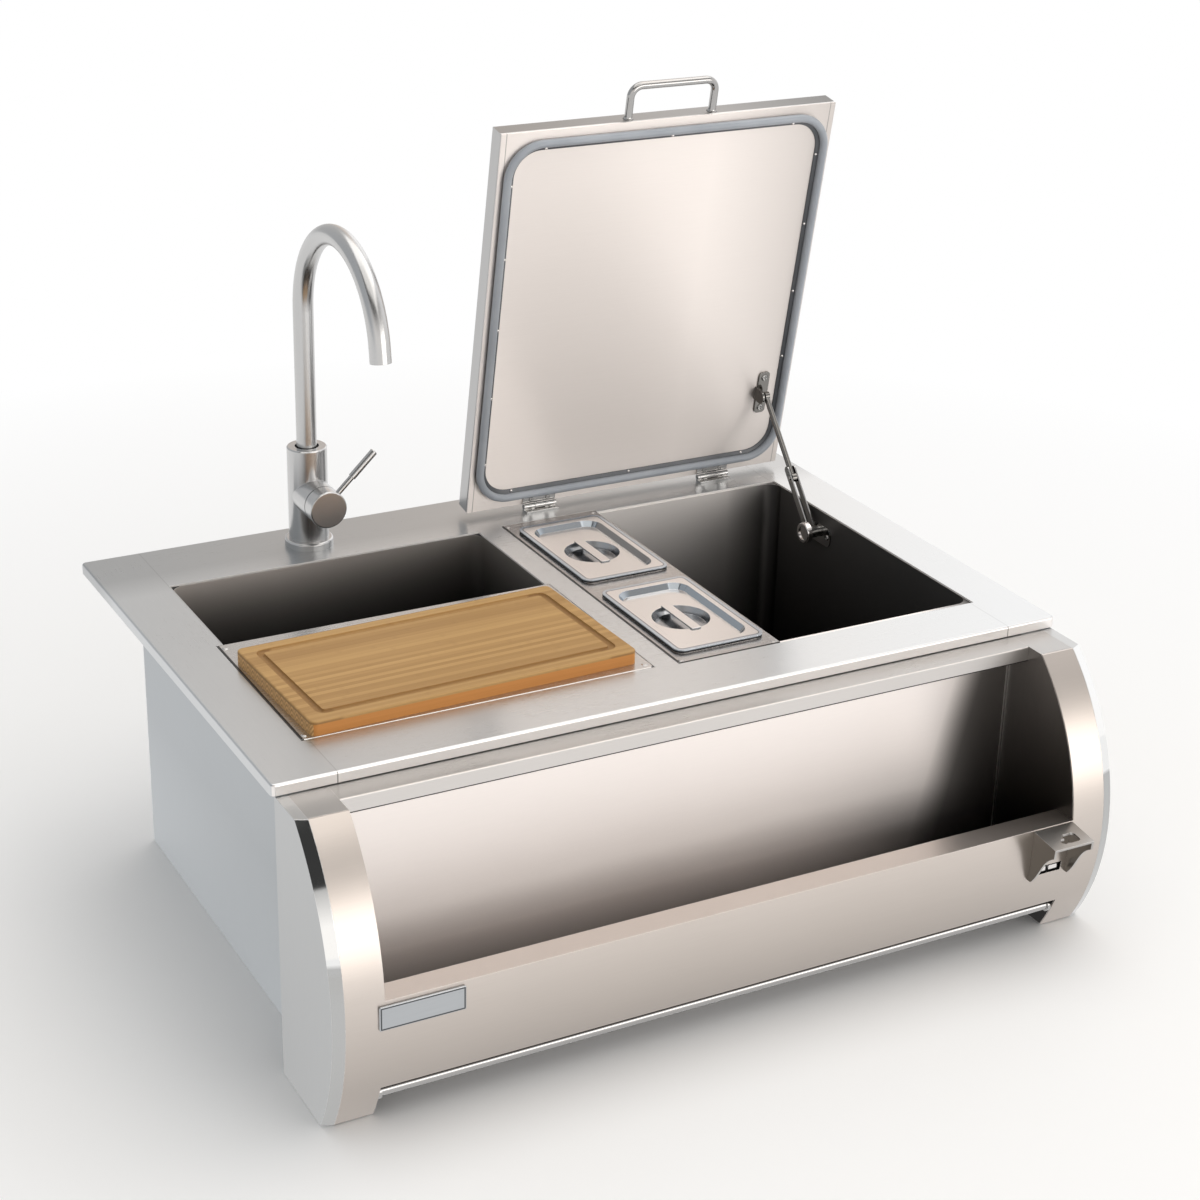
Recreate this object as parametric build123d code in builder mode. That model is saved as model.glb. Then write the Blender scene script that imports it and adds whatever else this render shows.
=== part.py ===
import math
import os

from build123d import *

os.makedirs("parts", exist_ok=True)

# Overall sizes, in millimetres; the origin is the middle of the flat bottom
sheet = 1.5
deck_width = 912.0
deck_depth = 594.0
deck_sheet = 2.0
deck_lip = 12.0
deck_bend = 2.5
deck_corner = 5.0
deck_top = 323.0
deck_reach = 256.0
deck_front = -deck_reach
deck_left = -deck_width / 2
deck_right = deck_width / 2
deck_rear = deck_front + deck_depth
deck_middle = deck_front + deck_depth / 2
deck_under = deck_top - deck_sheet
flat = (Align.MIN, Align.MIN)

# Cabinet jacket
jacket_side_inset = 40.0
jacket_front_inset = 3.0
jacket_rear_inset = 85.0
jacket_half = deck_width / 2 - jacket_side_inset
jacket_front = deck_front + jacket_front_inset
jacket_rear = deck_rear - jacket_rear_inset
jacket_middle = (jacket_front + jacket_rear) / 2

# Sink and the tray over its front half
sink_side_inset = 68.0
sink_middle_inset = 9.0
sink_front_inset = 82.0
sink_rear_inset = 106.5
sink_depth = 232.0
sink_left = deck_left + sink_side_inset
sink_right = (deck_left + deck_right) / 2 - sink_middle_inset
sink_front = deck_front + sink_front_inset
sink_rear = deck_rear - sink_rear_inset
sink_floor = deck_top - sink_depth
sink_x = (sink_left + sink_right) / 2
sink_y = (sink_front + sink_rear) / 2
basin_corner = 16.0
basin_floor_bend = 12.0
flange_width = 12.0
tray_left_ledge = 8.0
tray_right_ledge = 5.0
tray_front_ledge = 8.0
tray_length = 242.0
tray_left = sink_left - tray_left_ledge
tray_right = sink_right + tray_right_ledge
tray_front = sink_front - tray_front_ledge
tray_rear = tray_front + tray_length
drop_gap = 1.0
drop_bend = 1.7
drop_notch = 4.5

# Ice bin and the condiment panel over its left side
divider = 31.0
panel_width = 126.0
panel_ledge = 8.0
bin_side_inset = 58.5
bin_front_inset = 77.0
bin_rear_inset = 109.0
bin_depth = 262.0
bin_front_ledge = 7.0
bin_rear_ledge = 1.8
foam_margin = 8.0
panel_left = sink_right + divider
panel_right = panel_left + panel_width
bin_left = panel_left + panel_ledge
bin_right = deck_right - bin_side_inset
bin_front = deck_front + bin_front_inset
bin_rear = deck_rear - bin_rear_inset
panel_rear = bin_rear + panel_ledge
bin_floor = deck_top - bin_depth
bin_x = (bin_left + bin_right) / 2
bin_y = (bin_front + bin_rear) / 2
bin_cut_front = bin_front - bin_front_ledge
bin_cut_rear = bin_rear + bin_rear_ledge
foam_left = panel_left - foam_margin

# Drains
sink_drain_r = 19.0
bin_drain_r = 9.0
bin_stub_r = 10.2
bin_stub_top = 45.0
sink_hole_r = 23.0
bin_hole_r = 11.5
pipe_end = 4.0

# Front: rolled skin around one centre line
skin_radius = 250.0
skin_reach = 132.0
skin_axis_drop = 195.0
skin_top_drop = 13.0
skin_bottom = 1.0
skin_front = deck_front - skin_reach
skin_centre_y = skin_front + skin_radius
skin_centre_z = deck_top - skin_axis_drop
skin_top = deck_top - skin_top_drop
cap_width = 12.0
cap_setback = 4.0
cap_inset = 4.0
cap_face = deck_width / 2 - cap_inset
skin_half = cap_face - cap_width
window_inset = 40.5
window_half = skin_half - window_inset
lip_drop = 175.0
lip_depth = 29.4
lip_hem = 9.0
notch_drop = 280.0
skin_gap = 0.3
trough_drop = 270.0
apron_reach = 29.5
apron_drop = 17.0
bar_depth = 28.0
bar_drop = 12.0
lip_top = deck_top - lip_drop
lip_inner = skin_front + lip_depth
notch_top = deck_top - notch_drop
trough_floor = deck_top - trough_drop
apron_edge = deck_front - apron_reach
front_reach = skin_reach + cap_setback + cap_setback
fold_rise = skin_top - skin_centre_z
fold_front = skin_centre_y - math.sqrt((skin_radius - sheet - skin_gap) ** 2 - fold_rise**2)
bar_y = skin_front + bar_depth
bar_z = notch_top - bar_drop
bar_r = 5.5
bar_foot_r = 7.5

# Bottle opener and the slot below it
opener_gap = 1.5
opener_width = 51.0
opener_sheet = 2.5
opener_drop = 0.6
slot_width = 34.0
slot_height = 11.0
slot_drop = 53.0
backing_gap = 0.4
plate_inset = 37.2
plate_width = 89.0
plate_height = 26.0
plate_sheet = 2.4
plate_drop = 17.0
opener_left = window_half - opener_gap - opener_width
opener_top = lip_top - opener_drop
slot_x = opener_left + opener_width / 2 + 0.5
slot_z = lip_top - slot_drop
backing_fall = slot_z - slot_height - skin_centre_z
backing_front = skin_centre_y - math.sqrt((skin_radius - sheet) ** 2 - backing_fall**2) + backing_gap
plate_x = plate_inset - window_half
plate_z = lip_top - plate_drop

# Tap
tap_shift = 3.0
tap_inset = 54.7
tap_x = sink_x - tap_shift
tap_y = deck_rear - tap_inset
tap_ring_r = 28.0
tap_ring_height = 9.0
tap_body_r = 23.0
tap_body_height = 120.0
tap_body_top = deck_top + tap_body_height
tap_shank_r = 16.5
tap_hole_r = 17.5
spout_r = 11.6
spout_bore_r = 9.8
spigot_r = 10.5
spigot_depth = 30.0
seat_depth = 2.5
seat_gap = 2.2
spout_bend = 108.0
spout_straight = 161.0
spout_arc = 172.0
spout_tip = 14.0
aerator_depth = 6.0
arc_sin = math.sin(math.radians(spout_arc))
arc_cos = math.cos(math.radians(spout_arc))
spout_start = tap_body_top - seat_depth + 0.3
spout_straight_top = tap_body_top + spout_straight
spout_end_y = tap_y - spout_bend * (1 - arc_cos)
spout_end_z = spout_straight_top + spout_bend * arc_sin
outlet_y = spout_end_y - spout_tip * arc_sin
outlet_z = spout_end_z + spout_tip * arc_cos
running = 0.05
valve_rise = 63.5
valve_z = deck_top + valve_rise
collar_r = 21.8
collar_reach = 44.0
cap_start = 45.2
cap_end = 64.0
valve_wall = 1.8
stem_r = 8.0
lever_angle = 44.0
lever_r = 4.4
lever_thin = 1.1
lever_step = 45.0
lever_length = 84.0
lever_reach = 53.5
lever_y = tap_y - lever_reach
lever_slot = 7.2

# Lid, standing open on its hinge line
lid_open = 79.56
lid_depth = 25.0
lid_gap = 4.1
lid_heel = 1.8
hinge_inset = 69.0
hinge_rise = 5.5
lid_side_overlap = 27.0
lid_front_overlap = 25.5
hinge_y = deck_rear - hinge_inset
hinge_z = deck_top + hinge_rise
lid_left = panel_left - lid_side_overlap
lid_right = bin_right + lid_side_overlap + 0.5
lid_front = bin_cut_front - lid_front_overlap
lid_x = (lid_left + lid_right) / 2
lid_width = lid_right - lid_left
lid_length = hinge_y - lid_heel - lid_front
open_sin = math.sin(math.radians(lid_open))
open_cos = math.cos(math.radians(lid_open))
lid_plane = Plane(origin=(lid_x, hinge_y, hinge_z), x_dir=(1, 0, 0), z_dir=(0, -open_sin, -open_cos))
lid_face = lid_plane.offset(-lid_gap)
lid_middle = lid_heel + lid_length / 2
gasket_height = hinge_z + lid_gap - deck_top - 0.3
gasket_side = 5.5
gasket_heel = 11.0
gasket_toe = 8.7
gasket_corner = 45.0
gasket_bulb = 9.2
gasket_bulb_round = 4.3
gasket_flange = 4.4
gasket_width = lid_width - 2 * gasket_side
gasket_length = lid_length - gasket_heel - gasket_toe
gasket_middle = lid_heel + gasket_heel + gasket_length / 2
handle_half = 54.0
handle_rise = 38.0
handle_r = 4.5
handle_bend = 13.0
handle_back = 10.0

# Butt hinges
hinge_spread = 120.5
hinge_width = 43.0
knuckle_r = 3.5
pin_r = 2.0
leaf = 2.0
leaf_reach = 10.0
knuckle_middle = 14.0
knuckle_gap = 0.3
leaf_start = 3.5
leaf_end = 11.2

# Lid stay: rod from the lid to an elbow, forked arm from the elbow to the bin wall
stay_inset = 10.5
stay_arm = 71.0
stay_reach = 143.0
stay_drop = 28.0
stay_x = bin_right - stay_inset
stay_pivot_y = hinge_y - stay_reach
stay_pivot_z = deck_top - stay_drop
stay_top_v = 106.6
stay_top_w = 7.4
rod_r = 3.4
eye_r = 5.5
eye_half = 3.0
stay_pin_r = 2.5
prong = 1.6
prong_gap = 0.4
prong_height = 9.0
prong_tail = 15.0
hub_r = 8.0
disc_r = 13.0
stay_top = lid_plane.from_local_coords((stay_x - lid_x, stay_top_v, stay_top_w))
stay_angle = math.atan2(stay_top.Z - stay_pivot_z, stay_top.Y - stay_pivot_y)
stay_dir = Vector(0, math.cos(stay_angle), math.sin(stay_angle))
stay_pivot = Vector(stay_x, stay_pivot_y, stay_pivot_z)
stay_elbow = stay_pivot + stay_dir * stay_arm
stay_rod_length = (stay_top - stay_elbow).length
fork_half = rod_r + prong_gap + prong

# Board, pans and pan lids
board_width = 368.0
board_depth = 193.0
board_height = 15.0
board_turn = 2.0
board_shift = 5.0
board_inset = 106.0
groove_edge = 14.0
groove_width = 8.0
groove_depth = 3.0
board_x = sink_x - board_shift
board_y = tray_front + board_inset
pan_x = (panel_left + panel_right) / 2 + 1.0
pan_pitch = (panel_rear - bin_cut_front) / 2 - 5.5
pan_y = (panel_rear + bin_cut_front + pan_pitch - 3.0) / 2
pan_width = 105.0
pan_length = 173.0
pan_body_width = 92.0
pan_body_length = 158.0
pan_depth = 100.0
pan_sheet = 1.2
pan_lid_width = 108.0
pan_lid_length = 176.0
pan_rim = 2.6
pan_skirt_gap = 0.9
pan_lid_top = deck_top + pan_rim + pan_sheet + 0.2
dish_width = 88.0
dish_length = 154.0
dish_depth = 6.0
dish_slope = 40.0
recess_r = 32.0
grip_width = 12.0
recess_depth = 8.0
recess_slope = 25.0

# Deck panel: pressed top with a turned-down lip, two stepped cut-outs and the tap hole
with BuildPart() as deck_panel:
    with BuildSketch(Plane.XY.offset(deck_top)):
        with Locations((0, deck_middle)):
            RectangleRounded(deck_width, deck_depth, deck_corner)
    extrude(amount=-deck_lip)
    fillet(deck_panel.faces().sort_by(Axis.Z)[-1].edges(), deck_bend)
    with BuildSketch(Plane.XY.offset(deck_under)):
        with Locations((0, deck_middle)):
            RectangleRounded(deck_width - 2 * deck_sheet, deck_depth - 2 * deck_sheet, deck_corner - deck_sheet)
    extrude(amount=-deck_lip, mode=Mode.SUBTRACT)
    with BuildSketch(Plane.XY.offset(deck_top)):
        with Locations((tray_left, tray_front)):
            Rectangle(tray_right - tray_left, tray_rear - tray_front, align=flat)
        with Locations((sink_left, sink_front)):
            Rectangle(sink_right - sink_left, sink_rear - sink_front, align=flat)
        with Locations((panel_left, bin_cut_front)):
            Rectangle(panel_right - panel_left, panel_rear - bin_cut_front, align=flat)
        with Locations((panel_left, bin_cut_front)):
            Rectangle(bin_right - panel_left, bin_cut_rear - bin_cut_front, align=flat)
        with Locations((tap_x, tap_y)):
            Circle(tap_hole_r)
    extrude(amount=-deck_sheet, mode=Mode.SUBTRACT)
deck_panel.part.label = "deck_panel"
export_step(deck_panel.part, "parts/deck_panel.step")

# Jacket: open folded box with holes for the two drains
with BuildPart() as jacket:
    with BuildSketch(Plane.XY):
        with Locations((0, jacket_middle)):
            Rectangle(2 * jacket_half, jacket_rear - jacket_front)
    extrude(amount=deck_under)
    fillet(jacket.edges().filter_by(Axis.Z), 2 * sheet)
    offset(amount=-sheet, openings=jacket.faces().sort_by(Axis.Z)[-1])
    with BuildSketch(Plane.XY):
        with Locations((sink_x, sink_y)):
            Circle(sink_drain_r + 11.0)
        with Locations((bin_x, bin_y)):
            Circle(bin_drain_r + 12.0)
    extrude(amount=sheet, mode=Mode.SUBTRACT)
jacket.part.label = "jacket"
export_step(jacket.part, "parts/jacket.step")

# Sink basin: drawn bowl with a flange under the deck
with BuildPart() as sink_basin:
    with BuildSketch(Plane.XY.offset(deck_under)):
        with Locations((sink_x, sink_y)):
            RectangleRounded(
                sink_right - sink_left + 2 * sheet, sink_rear - sink_front + 2 * sheet, basin_corner + sheet
            )
    extrude(amount=-(deck_under - sink_floor + sheet))
    fillet(sink_basin.faces().sort_by(Axis.Z)[0].edges(), basin_floor_bend)
    offset(amount=-sheet, openings=sink_basin.faces().sort_by(Axis.Z)[-1])
    with BuildSketch(Plane.XY.offset(deck_under)):
        with Locations((sink_x, sink_y)):
            Rectangle(sink_right - sink_left + 2 * flange_width, sink_rear - sink_front + 2 * flange_width)
            RectangleRounded(
                sink_right - sink_left, sink_rear - sink_front, basin_corner, mode=Mode.SUBTRACT
            )
    extrude(amount=-sheet)
    with BuildSketch(Plane.XY.offset(sink_floor)):
        with Locations((sink_x, sink_y)):
            Circle(sink_hole_r)
    extrude(amount=-sheet, mode=Mode.SUBTRACT)
sink_basin.part.label = "sink_basin"
export_step(sink_basin.part, "parts/sink_basin.step")

# Sink drain: dished flange with a strainer plate and a threaded neck
with BuildPart() as sink_drain:
    with BuildSketch(Plane.XY.offset(sink_floor)):
        with Locations((sink_x, sink_y)):
            Circle(sink_drain_r + 19.0)
    extrude(amount=2.0)
    chamfer(sink_drain.faces().sort_by(Axis.Z)[-1].edges(), 1.4)
    with BuildSketch(Plane.XY.offset(sink_floor)):
        with Locations((sink_x, sink_y)):
            Circle(sink_hole_r - 0.5)
    extrude(amount=-22.0)
    with BuildSketch(Plane.XY.offset(sink_floor + 2.0)):
        with Locations((sink_x, sink_y)):
            Circle(sink_drain_r)
    extrude(amount=-4.0, mode=Mode.SUBTRACT)
    with BuildSketch(Plane.XY.offset(sink_floor - 4.0)):
        with Locations((sink_x, sink_y)):
            Circle(sink_drain_r)
    extrude(amount=-18.0, mode=Mode.SUBTRACT)
    with BuildSketch(Plane.XY.offset(sink_floor - 2.0)):
        with Locations((sink_x, sink_y)):
            Circle(2.6)
            with PolarLocations(11.0, 8):
                Circle(2.6)
    extrude(amount=-2.0, mode=Mode.SUBTRACT)
sink_drain.part.label = "sink_drain"
export_step(sink_drain.part, "parts/sink_drain.step")

# Sink drain lock nut
with BuildPart() as sink_drain_nut:
    with BuildSketch(Plane.XY.offset(sink_floor - sheet)):
        with Locations((sink_x, sink_y)):
            RegularPolygon(34.0, 6)
            Circle(sink_hole_r - 0.5 + running, mode=Mode.SUBTRACT)
    extrude(amount=-10.0)
sink_drain_nut.part.label = "sink_drain_nut"
export_step(sink_drain_nut.part, "parts/sink_drain_nut.step")

# Sink tailpiece: plain tube with a collar under the neck
with BuildPart() as sink_tailpiece:
    with BuildSketch(Plane.XY.offset(pipe_end)):
        with Locations((sink_x, sink_y)):
            Circle(sink_drain_r)
    extrude(amount=sink_floor - 22.0 - pipe_end)
    with BuildSketch(Plane.XY.offset(sink_floor - 22.0)):
        with Locations((sink_x, sink_y)):
            Circle(sink_hole_r - 0.5)
    extrude(amount=-3.0)
    with BuildSketch(Plane.XY.offset(pipe_end)):
        with Locations((sink_x, sink_y)):
            Circle(sink_drain_r - sheet)
    extrude(amount=sink_floor - 22.0 - pipe_end, mode=Mode.SUBTRACT)
sink_tailpiece.part.label = "sink_tailpiece"
export_step(sink_tailpiece.part, "parts/sink_tailpiece.step")

# Ice bin liner: drawn bowl with a flange under the deck
with BuildPart() as bin_liner:
    with BuildSketch(Plane.XY.offset(deck_under)):
        with Locations((bin_x, bin_y)):
            RectangleRounded(
                bin_right - bin_left + 2 * sheet, bin_rear - bin_front + 2 * sheet, basin_corner + sheet
            )
    extrude(amount=-(deck_under - bin_floor + sheet))
    fillet(bin_liner.faces().sort_by(Axis.Z)[0].edges(), basin_floor_bend)
    offset(amount=-sheet, openings=bin_liner.faces().sort_by(Axis.Z)[-1])
    with BuildSketch(Plane.XY.offset(deck_under)):
        with Locations((bin_x, bin_y)):
            Rectangle(bin_right - bin_left + 2 * flange_width, bin_rear - bin_front + 2 * flange_width)
            RectangleRounded(bin_right - bin_left, bin_rear - bin_front, basin_corner, mode=Mode.SUBTRACT)
    extrude(amount=-sheet)
    with BuildSketch(Plane.XY.offset(bin_floor)):
        with Locations((bin_x, bin_y)):
            Circle(bin_hole_r)
    extrude(amount=-sheet, mode=Mode.SUBTRACT)
bin_liner.part.label = "bin_liner"
export_step(bin_liner.part, "parts/bin_liner.step")

# Bin drain fitting: flange, threaded neck and hose stub
with BuildPart() as bin_drain:
    with BuildSketch(Plane.XY.offset(bin_floor)):
        with Locations((bin_x, bin_y)):
            Circle(bin_drain_r + 10.0)
    extrude(amount=sheet)
    chamfer(bin_drain.faces().sort_by(Axis.Z)[-1].edges(), 1.0)
    with BuildSketch(Plane.XY.offset(bin_stub_top)):
        with Locations((bin_x, bin_y)):
            Circle(bin_drain_r + 2.0)
    extrude(amount=bin_floor - bin_stub_top)
    with BuildSketch(Plane.XY.offset(pipe_end)):
        with Locations((bin_x, bin_y)):
            Circle(bin_stub_r)
    extrude(amount=bin_stub_top - pipe_end)
    with BuildSketch(Plane.XY.offset(pipe_end)):
        with Locations((bin_x, bin_y)):
            Circle(bin_drain_r)
    extrude(amount=bin_floor + sheet - pipe_end, mode=Mode.SUBTRACT)
bin_drain.part.label = "bin_drain"
export_step(bin_drain.part, "parts/bin_drain.step")

# Bin drain lock nut
with BuildPart() as bin_drain_nut:
    with BuildSketch(Plane.XY.offset(bin_floor - sheet)):
        with Locations((bin_x, bin_y)):
            RegularPolygon(19.0, 6)
            Circle(bin_drain_r + 2.0 + running, mode=Mode.SUBTRACT)
    extrude(amount=-9.0)
bin_drain_nut.part.label = "bin_drain_nut"
export_step(bin_drain_nut.part, "parts/bin_drain_nut.step")

# Insulation around the bin, filling the jacket's right half
with BuildPart() as bin_insulation:
    with BuildSketch(Plane.XY.offset(sheet)):
        with Locations((foam_left, jacket_front + sheet)):
            Rectangle(jacket_half - sheet - foam_left, jacket_rear - jacket_front - 2 * sheet, align=flat)
    extrude(amount=deck_under - 2 * sheet)
    fillet(bin_insulation.edges().filter_by(Axis.Z).group_by(Axis.X)[-1], 2 * sheet)
    with BuildSketch(Plane.XY.offset(deck_under - sheet)):
        with Locations((bin_x, bin_y)):
            RectangleRounded(
                bin_right - bin_left + 4 * sheet, bin_rear - bin_front + 4 * sheet, basin_corner + 2 * sheet
            )
    extrude(amount=-(deck_under - bin_floor), mode=Mode.SUBTRACT)
    with BuildSketch(Plane.XY):
        with Locations((bin_x, bin_y)):
            Circle(bin_drain_r + 15.0)
    extrude(amount=bin_floor, mode=Mode.SUBTRACT)
bin_insulation.part.label = "bin_insulation"
export_step(bin_insulation.part, "parts/bin_insulation.step")

# Front skin: rolled sheet with the trough window, its folded lip, the bottom notch and the opener slot
with BuildPart() as front_skin:
    with BuildSketch(Plane.YZ.offset(-skin_half)):
        with Locations((skin_centre_y, skin_centre_z)):
            Circle(skin_radius)
            Circle(skin_radius - sheet, mode=Mode.SUBTRACT)
        with Locations((deck_front - front_reach, skin_bottom)):
            Rectangle(front_reach, skin_top - skin_bottom, align=flat, mode=Mode.INTERSECT)
    extrude(amount=2 * skin_half)
    with BuildSketch(Plane.XZ.offset(-deck_front)):
        with Locations((-window_half, lip_top)):
            Rectangle(2 * window_half, deck_top - lip_top, align=flat)
        with Locations((-window_half, 0)):
            Rectangle(2 * window_half, notch_top, align=flat)
        with Locations((slot_x, slot_z)):
            RectangleRounded(slot_width, slot_height, 1.0)
    extrude(amount=front_reach, mode=Mode.SUBTRACT)
    with BuildSketch(Plane.XY.offset(lip_top)):
        with Locations((-window_half, skin_front + skin_gap + sheet / 2)):
            Rectangle(2 * window_half, lip_depth - skin_gap - sheet / 2, align=flat)
    extrude(amount=-sheet)
    with BuildSketch(Plane.XY.offset(lip_top)):
        with Locations((-window_half, lip_inner - sheet)):
            Rectangle(2 * window_half, sheet, align=flat)
    extrude(amount=-lip_hem)
front_skin.part.label = "front_skin"
export_step(front_skin.part, "parts/front_skin.step")

# Left end cap: hollow cheek with a slanted border that narrows towards its outer face
with BuildPart() as left_end_cap:
    with BuildSketch(Plane.YZ.offset(-cap_face)):
        with Locations((skin_centre_y, skin_centre_z)):
            Circle(skin_radius - cap_setback)
        with Locations((deck_front - front_reach, skin_bottom)):
            Rectangle(
                jacket_front - deck_front + front_reach, skin_top - skin_bottom, align=flat, mode=Mode.INTERSECT
            )
    with BuildSketch(Plane.YZ.offset(-skin_half)):
        with Locations((skin_centre_y, skin_centre_z)):
            Circle(skin_radius)
        with Locations((deck_front - front_reach, skin_bottom)):
            Rectangle(
                jacket_front - deck_front + front_reach, skin_top - skin_bottom, align=flat, mode=Mode.INTERSECT
            )
    loft()
    offset(amount=-sheet, openings=left_end_cap.faces().sort_by(Axis.X)[-1])
left_end_cap.part.label = "left_end_cap"
export_step(left_end_cap.part, "parts/left_end_cap.step")

# Right end cap, the left one mirrored
with BuildPart() as right_end_cap:
    add(mirror(left_end_cap.part, about=Plane.YZ, mode=Mode.PRIVATE))
right_end_cap.part.label = "right_end_cap"
export_step(right_end_cap.part, "parts/right_end_cap.step")

# Left cheek: upright wall at the trough's end with a fold that closes the top of the cap
with BuildPart() as left_cheek:
    with BuildSketch(Plane.YZ.offset(-window_half - sheet)):
        with Locations((skin_centre_y, skin_centre_z)):
            Circle(skin_radius - sheet - skin_gap)
        with Locations((deck_front - front_reach, skin_bottom)):
            Rectangle(
                jacket_front - deck_front + front_reach, skin_top - skin_bottom, align=flat, mode=Mode.INTERSECT
            )
    extrude(amount=sheet)
    with BuildSketch(Plane.XY.offset(skin_top)):
        with Locations((-skin_half, fold_front)):
            Rectangle(skin_half - window_half, jacket_front - fold_front, align=flat)
    extrude(amount=-sheet)
left_cheek.part.label = "left_cheek"
export_step(left_cheek.part, "parts/left_cheek.step")

# Right cheek, the left one mirrored
with BuildPart() as right_cheek:
    add(mirror(left_cheek.part, about=Plane.YZ, mode=Mode.PRIVATE))
right_cheek.part.label = "right_cheek"
export_step(right_cheek.part, "parts/right_cheek.step")

# Apron: narrow shelf under the deck's front edge with a drip lip
with BuildPart() as apron:
    with BuildSketch(Plane.YZ.offset(-window_half)):
        with BuildLine():
            Polyline(
                (jacket_front, skin_top),
                (apron_edge, skin_top),
                (apron_edge, skin_top - apron_drop),
                (apron_edge + sheet, skin_top - apron_drop),
                (apron_edge + sheet, skin_top - sheet),
                (jacket_front, skin_top - sheet),
                close=True,
            )
        make_face()
    extrude(amount=2 * window_half)
    fillet(apron.edges().filter_by(Axis.X).group_by(Axis.Y)[0].sort_by(Axis.Z)[-1], 1.2)
apron.part.label = "apron"
export_step(apron.part, "parts/apron.step")

# Trough sheet: upright back and a floor that runs forward to the skin
with BuildPart() as trough:
    with BuildSketch(Plane.YZ.offset(-window_half)):
        with Locations((jacket_front - sheet, trough_floor)):
            Rectangle(sheet, skin_top - sheet - trough_floor, align=flat)
        with Locations((skin_front, trough_floor - sheet)):
            Rectangle(jacket_front - skin_front, sheet, align=flat)
        with Locations((skin_centre_y, skin_centre_z)):
            Circle(skin_radius - sheet - skin_gap, mode=Mode.INTERSECT)
    extrude(amount=2 * window_half)
trough.part.label = "trough"
export_step(trough.part, "parts/trough.step")

# Towel bar between the cheeks, with a round foot at each end
with BuildPart() as towel_bar:
    with BuildSketch(Plane.YZ.offset(-window_half)):
        with Locations((bar_y, bar_z)):
            Circle(bar_r)
    extrude(amount=2 * window_half)
    with BuildSketch(Plane.YZ.offset(-window_half), Plane.YZ.offset(window_half - 4.0)):
        with Locations((bar_y, bar_z)):
            Circle(bar_foot_r)
    extrude(amount=4.0)
towel_bar.part.label = "towel_bar"
export_step(towel_bar.part, "parts/towel_bar.step")

# Bottle opener: bent hood with two ears, a keyhole in its top and edges that follow the skin
with BuildPart() as bottle_opener:
    with BuildSketch(Plane.YZ.offset(opener_left)):
        with BuildLine():
            Polyline(
                (skin_front + 12.0, opener_top),
                (skin_front + 1.0, opener_top),
                (skin_front - 37.0, opener_top - 4.9),
                (skin_front - 36.0, opener_top - 15.4),
            )
            Spline(
                (skin_front - 36.0, opener_top - 15.4),
                (skin_front - 22.0, opener_top - 28.4),
                (skin_front - 12.0, opener_top - 46.4),
                (skin_front - 2.0, opener_top - 60.4),
            )
            Polyline(
                (skin_front - 2.0, opener_top - 60.4),
                (skin_front + 12.0, opener_top - 60.4),
                (skin_front + 12.0, opener_top),
            )
        make_face()
    extrude(amount=opener_width)
    with BuildSketch(Plane.YZ.offset(opener_left + opener_sheet)):
        with BuildLine():
            Polyline(
                (skin_front + 32.0, opener_top - opener_sheet),
                (skin_front + 1.0, opener_top - opener_sheet),
                (skin_front - 48.0, opener_top - 6.4 - opener_sheet),
                (skin_front - 48.0, opener_top - 74.4),
                (skin_front + 32.0, opener_top - 74.4),
                close=True,
            )
        make_face()
    extrude(amount=opener_width - 2 * opener_sheet, mode=Mode.SUBTRACT)
    with BuildSketch(Plane.YZ.offset(opener_left)):
        with Locations((skin_centre_y, skin_centre_z)):
            Circle(skin_radius + 0.1)
    extrude(amount=opener_width, mode=Mode.SUBTRACT)
    with BuildSketch(Plane.XY.offset(opener_top + 5.6)):
        with Locations((opener_left + opener_width / 2 - 5.5, skin_front - 26.0)):
            Circle(4.2)
        with Locations((opener_left + opener_width / 2 + 5.5, skin_front - 23.0)):
            RectangleRounded(17.0, 15.0, 4.0)
    extrude(amount=-16.0, mode=Mode.SUBTRACT)
bottle_opener.part.label = "bottle_opener"
export_step(bottle_opener.part, "parts/bottle_opener.step")

# Opener backing: strip behind the slot in the skin, with two raised tabs
with BuildPart() as opener_backing:
    with BuildSketch(Plane.XZ.offset(-backing_front)):
        with Locations((slot_x, slot_z)):
            RectangleRounded(slot_width + 6.0, 2 * slot_height, 2.0)
    extrude(amount=-2.0)
    with BuildSketch(Plane.XZ.offset(-backing_front)):
        with Locations((slot_x - 7.5, slot_z), (slot_x + 7.5, slot_z)):
            RectangleRounded(11.0, 5.0, 0.8)
    extrude(amount=2.0)
opener_backing.part.label = "opener_backing"
export_step(opener_backing.part, "parts/opener_backing.step")

# Plain oblong plate on the skin
with BuildPart() as front_plate:
    with BuildSketch(Plane.XZ.offset(-skin_front + 0.1)):
        with Locations((plate_x, plate_z)):
            RectangleRounded(plate_width, plate_height, 1.5)
    extrude(amount=plate_sheet)
    chamfer(front_plate.faces().sort_by(Axis.Y)[0].edges(), 0.6)
front_plate.part.label = "front_plate"
export_step(front_plate.part, "parts/front_plate.step")

# Tap base ring
with BuildPart() as tap_ring:
    with BuildSketch(Plane.XY.offset(deck_top)):
        with Locations((tap_x, tap_y)):
            Circle(tap_ring_r)
            Circle(tap_shank_r + 0.3, mode=Mode.SUBTRACT)
    extrude(amount=tap_ring_height)
    fillet(tap_ring.edges().filter_by(GeomType.CIRCLE).group_by(Axis.Z)[-1].sort_by(SortBy.RADIUS)[-1], 2.5)
tap_ring.part.label = "tap_ring"
export_step(tap_ring.part, "parts/tap_ring.step")

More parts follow.
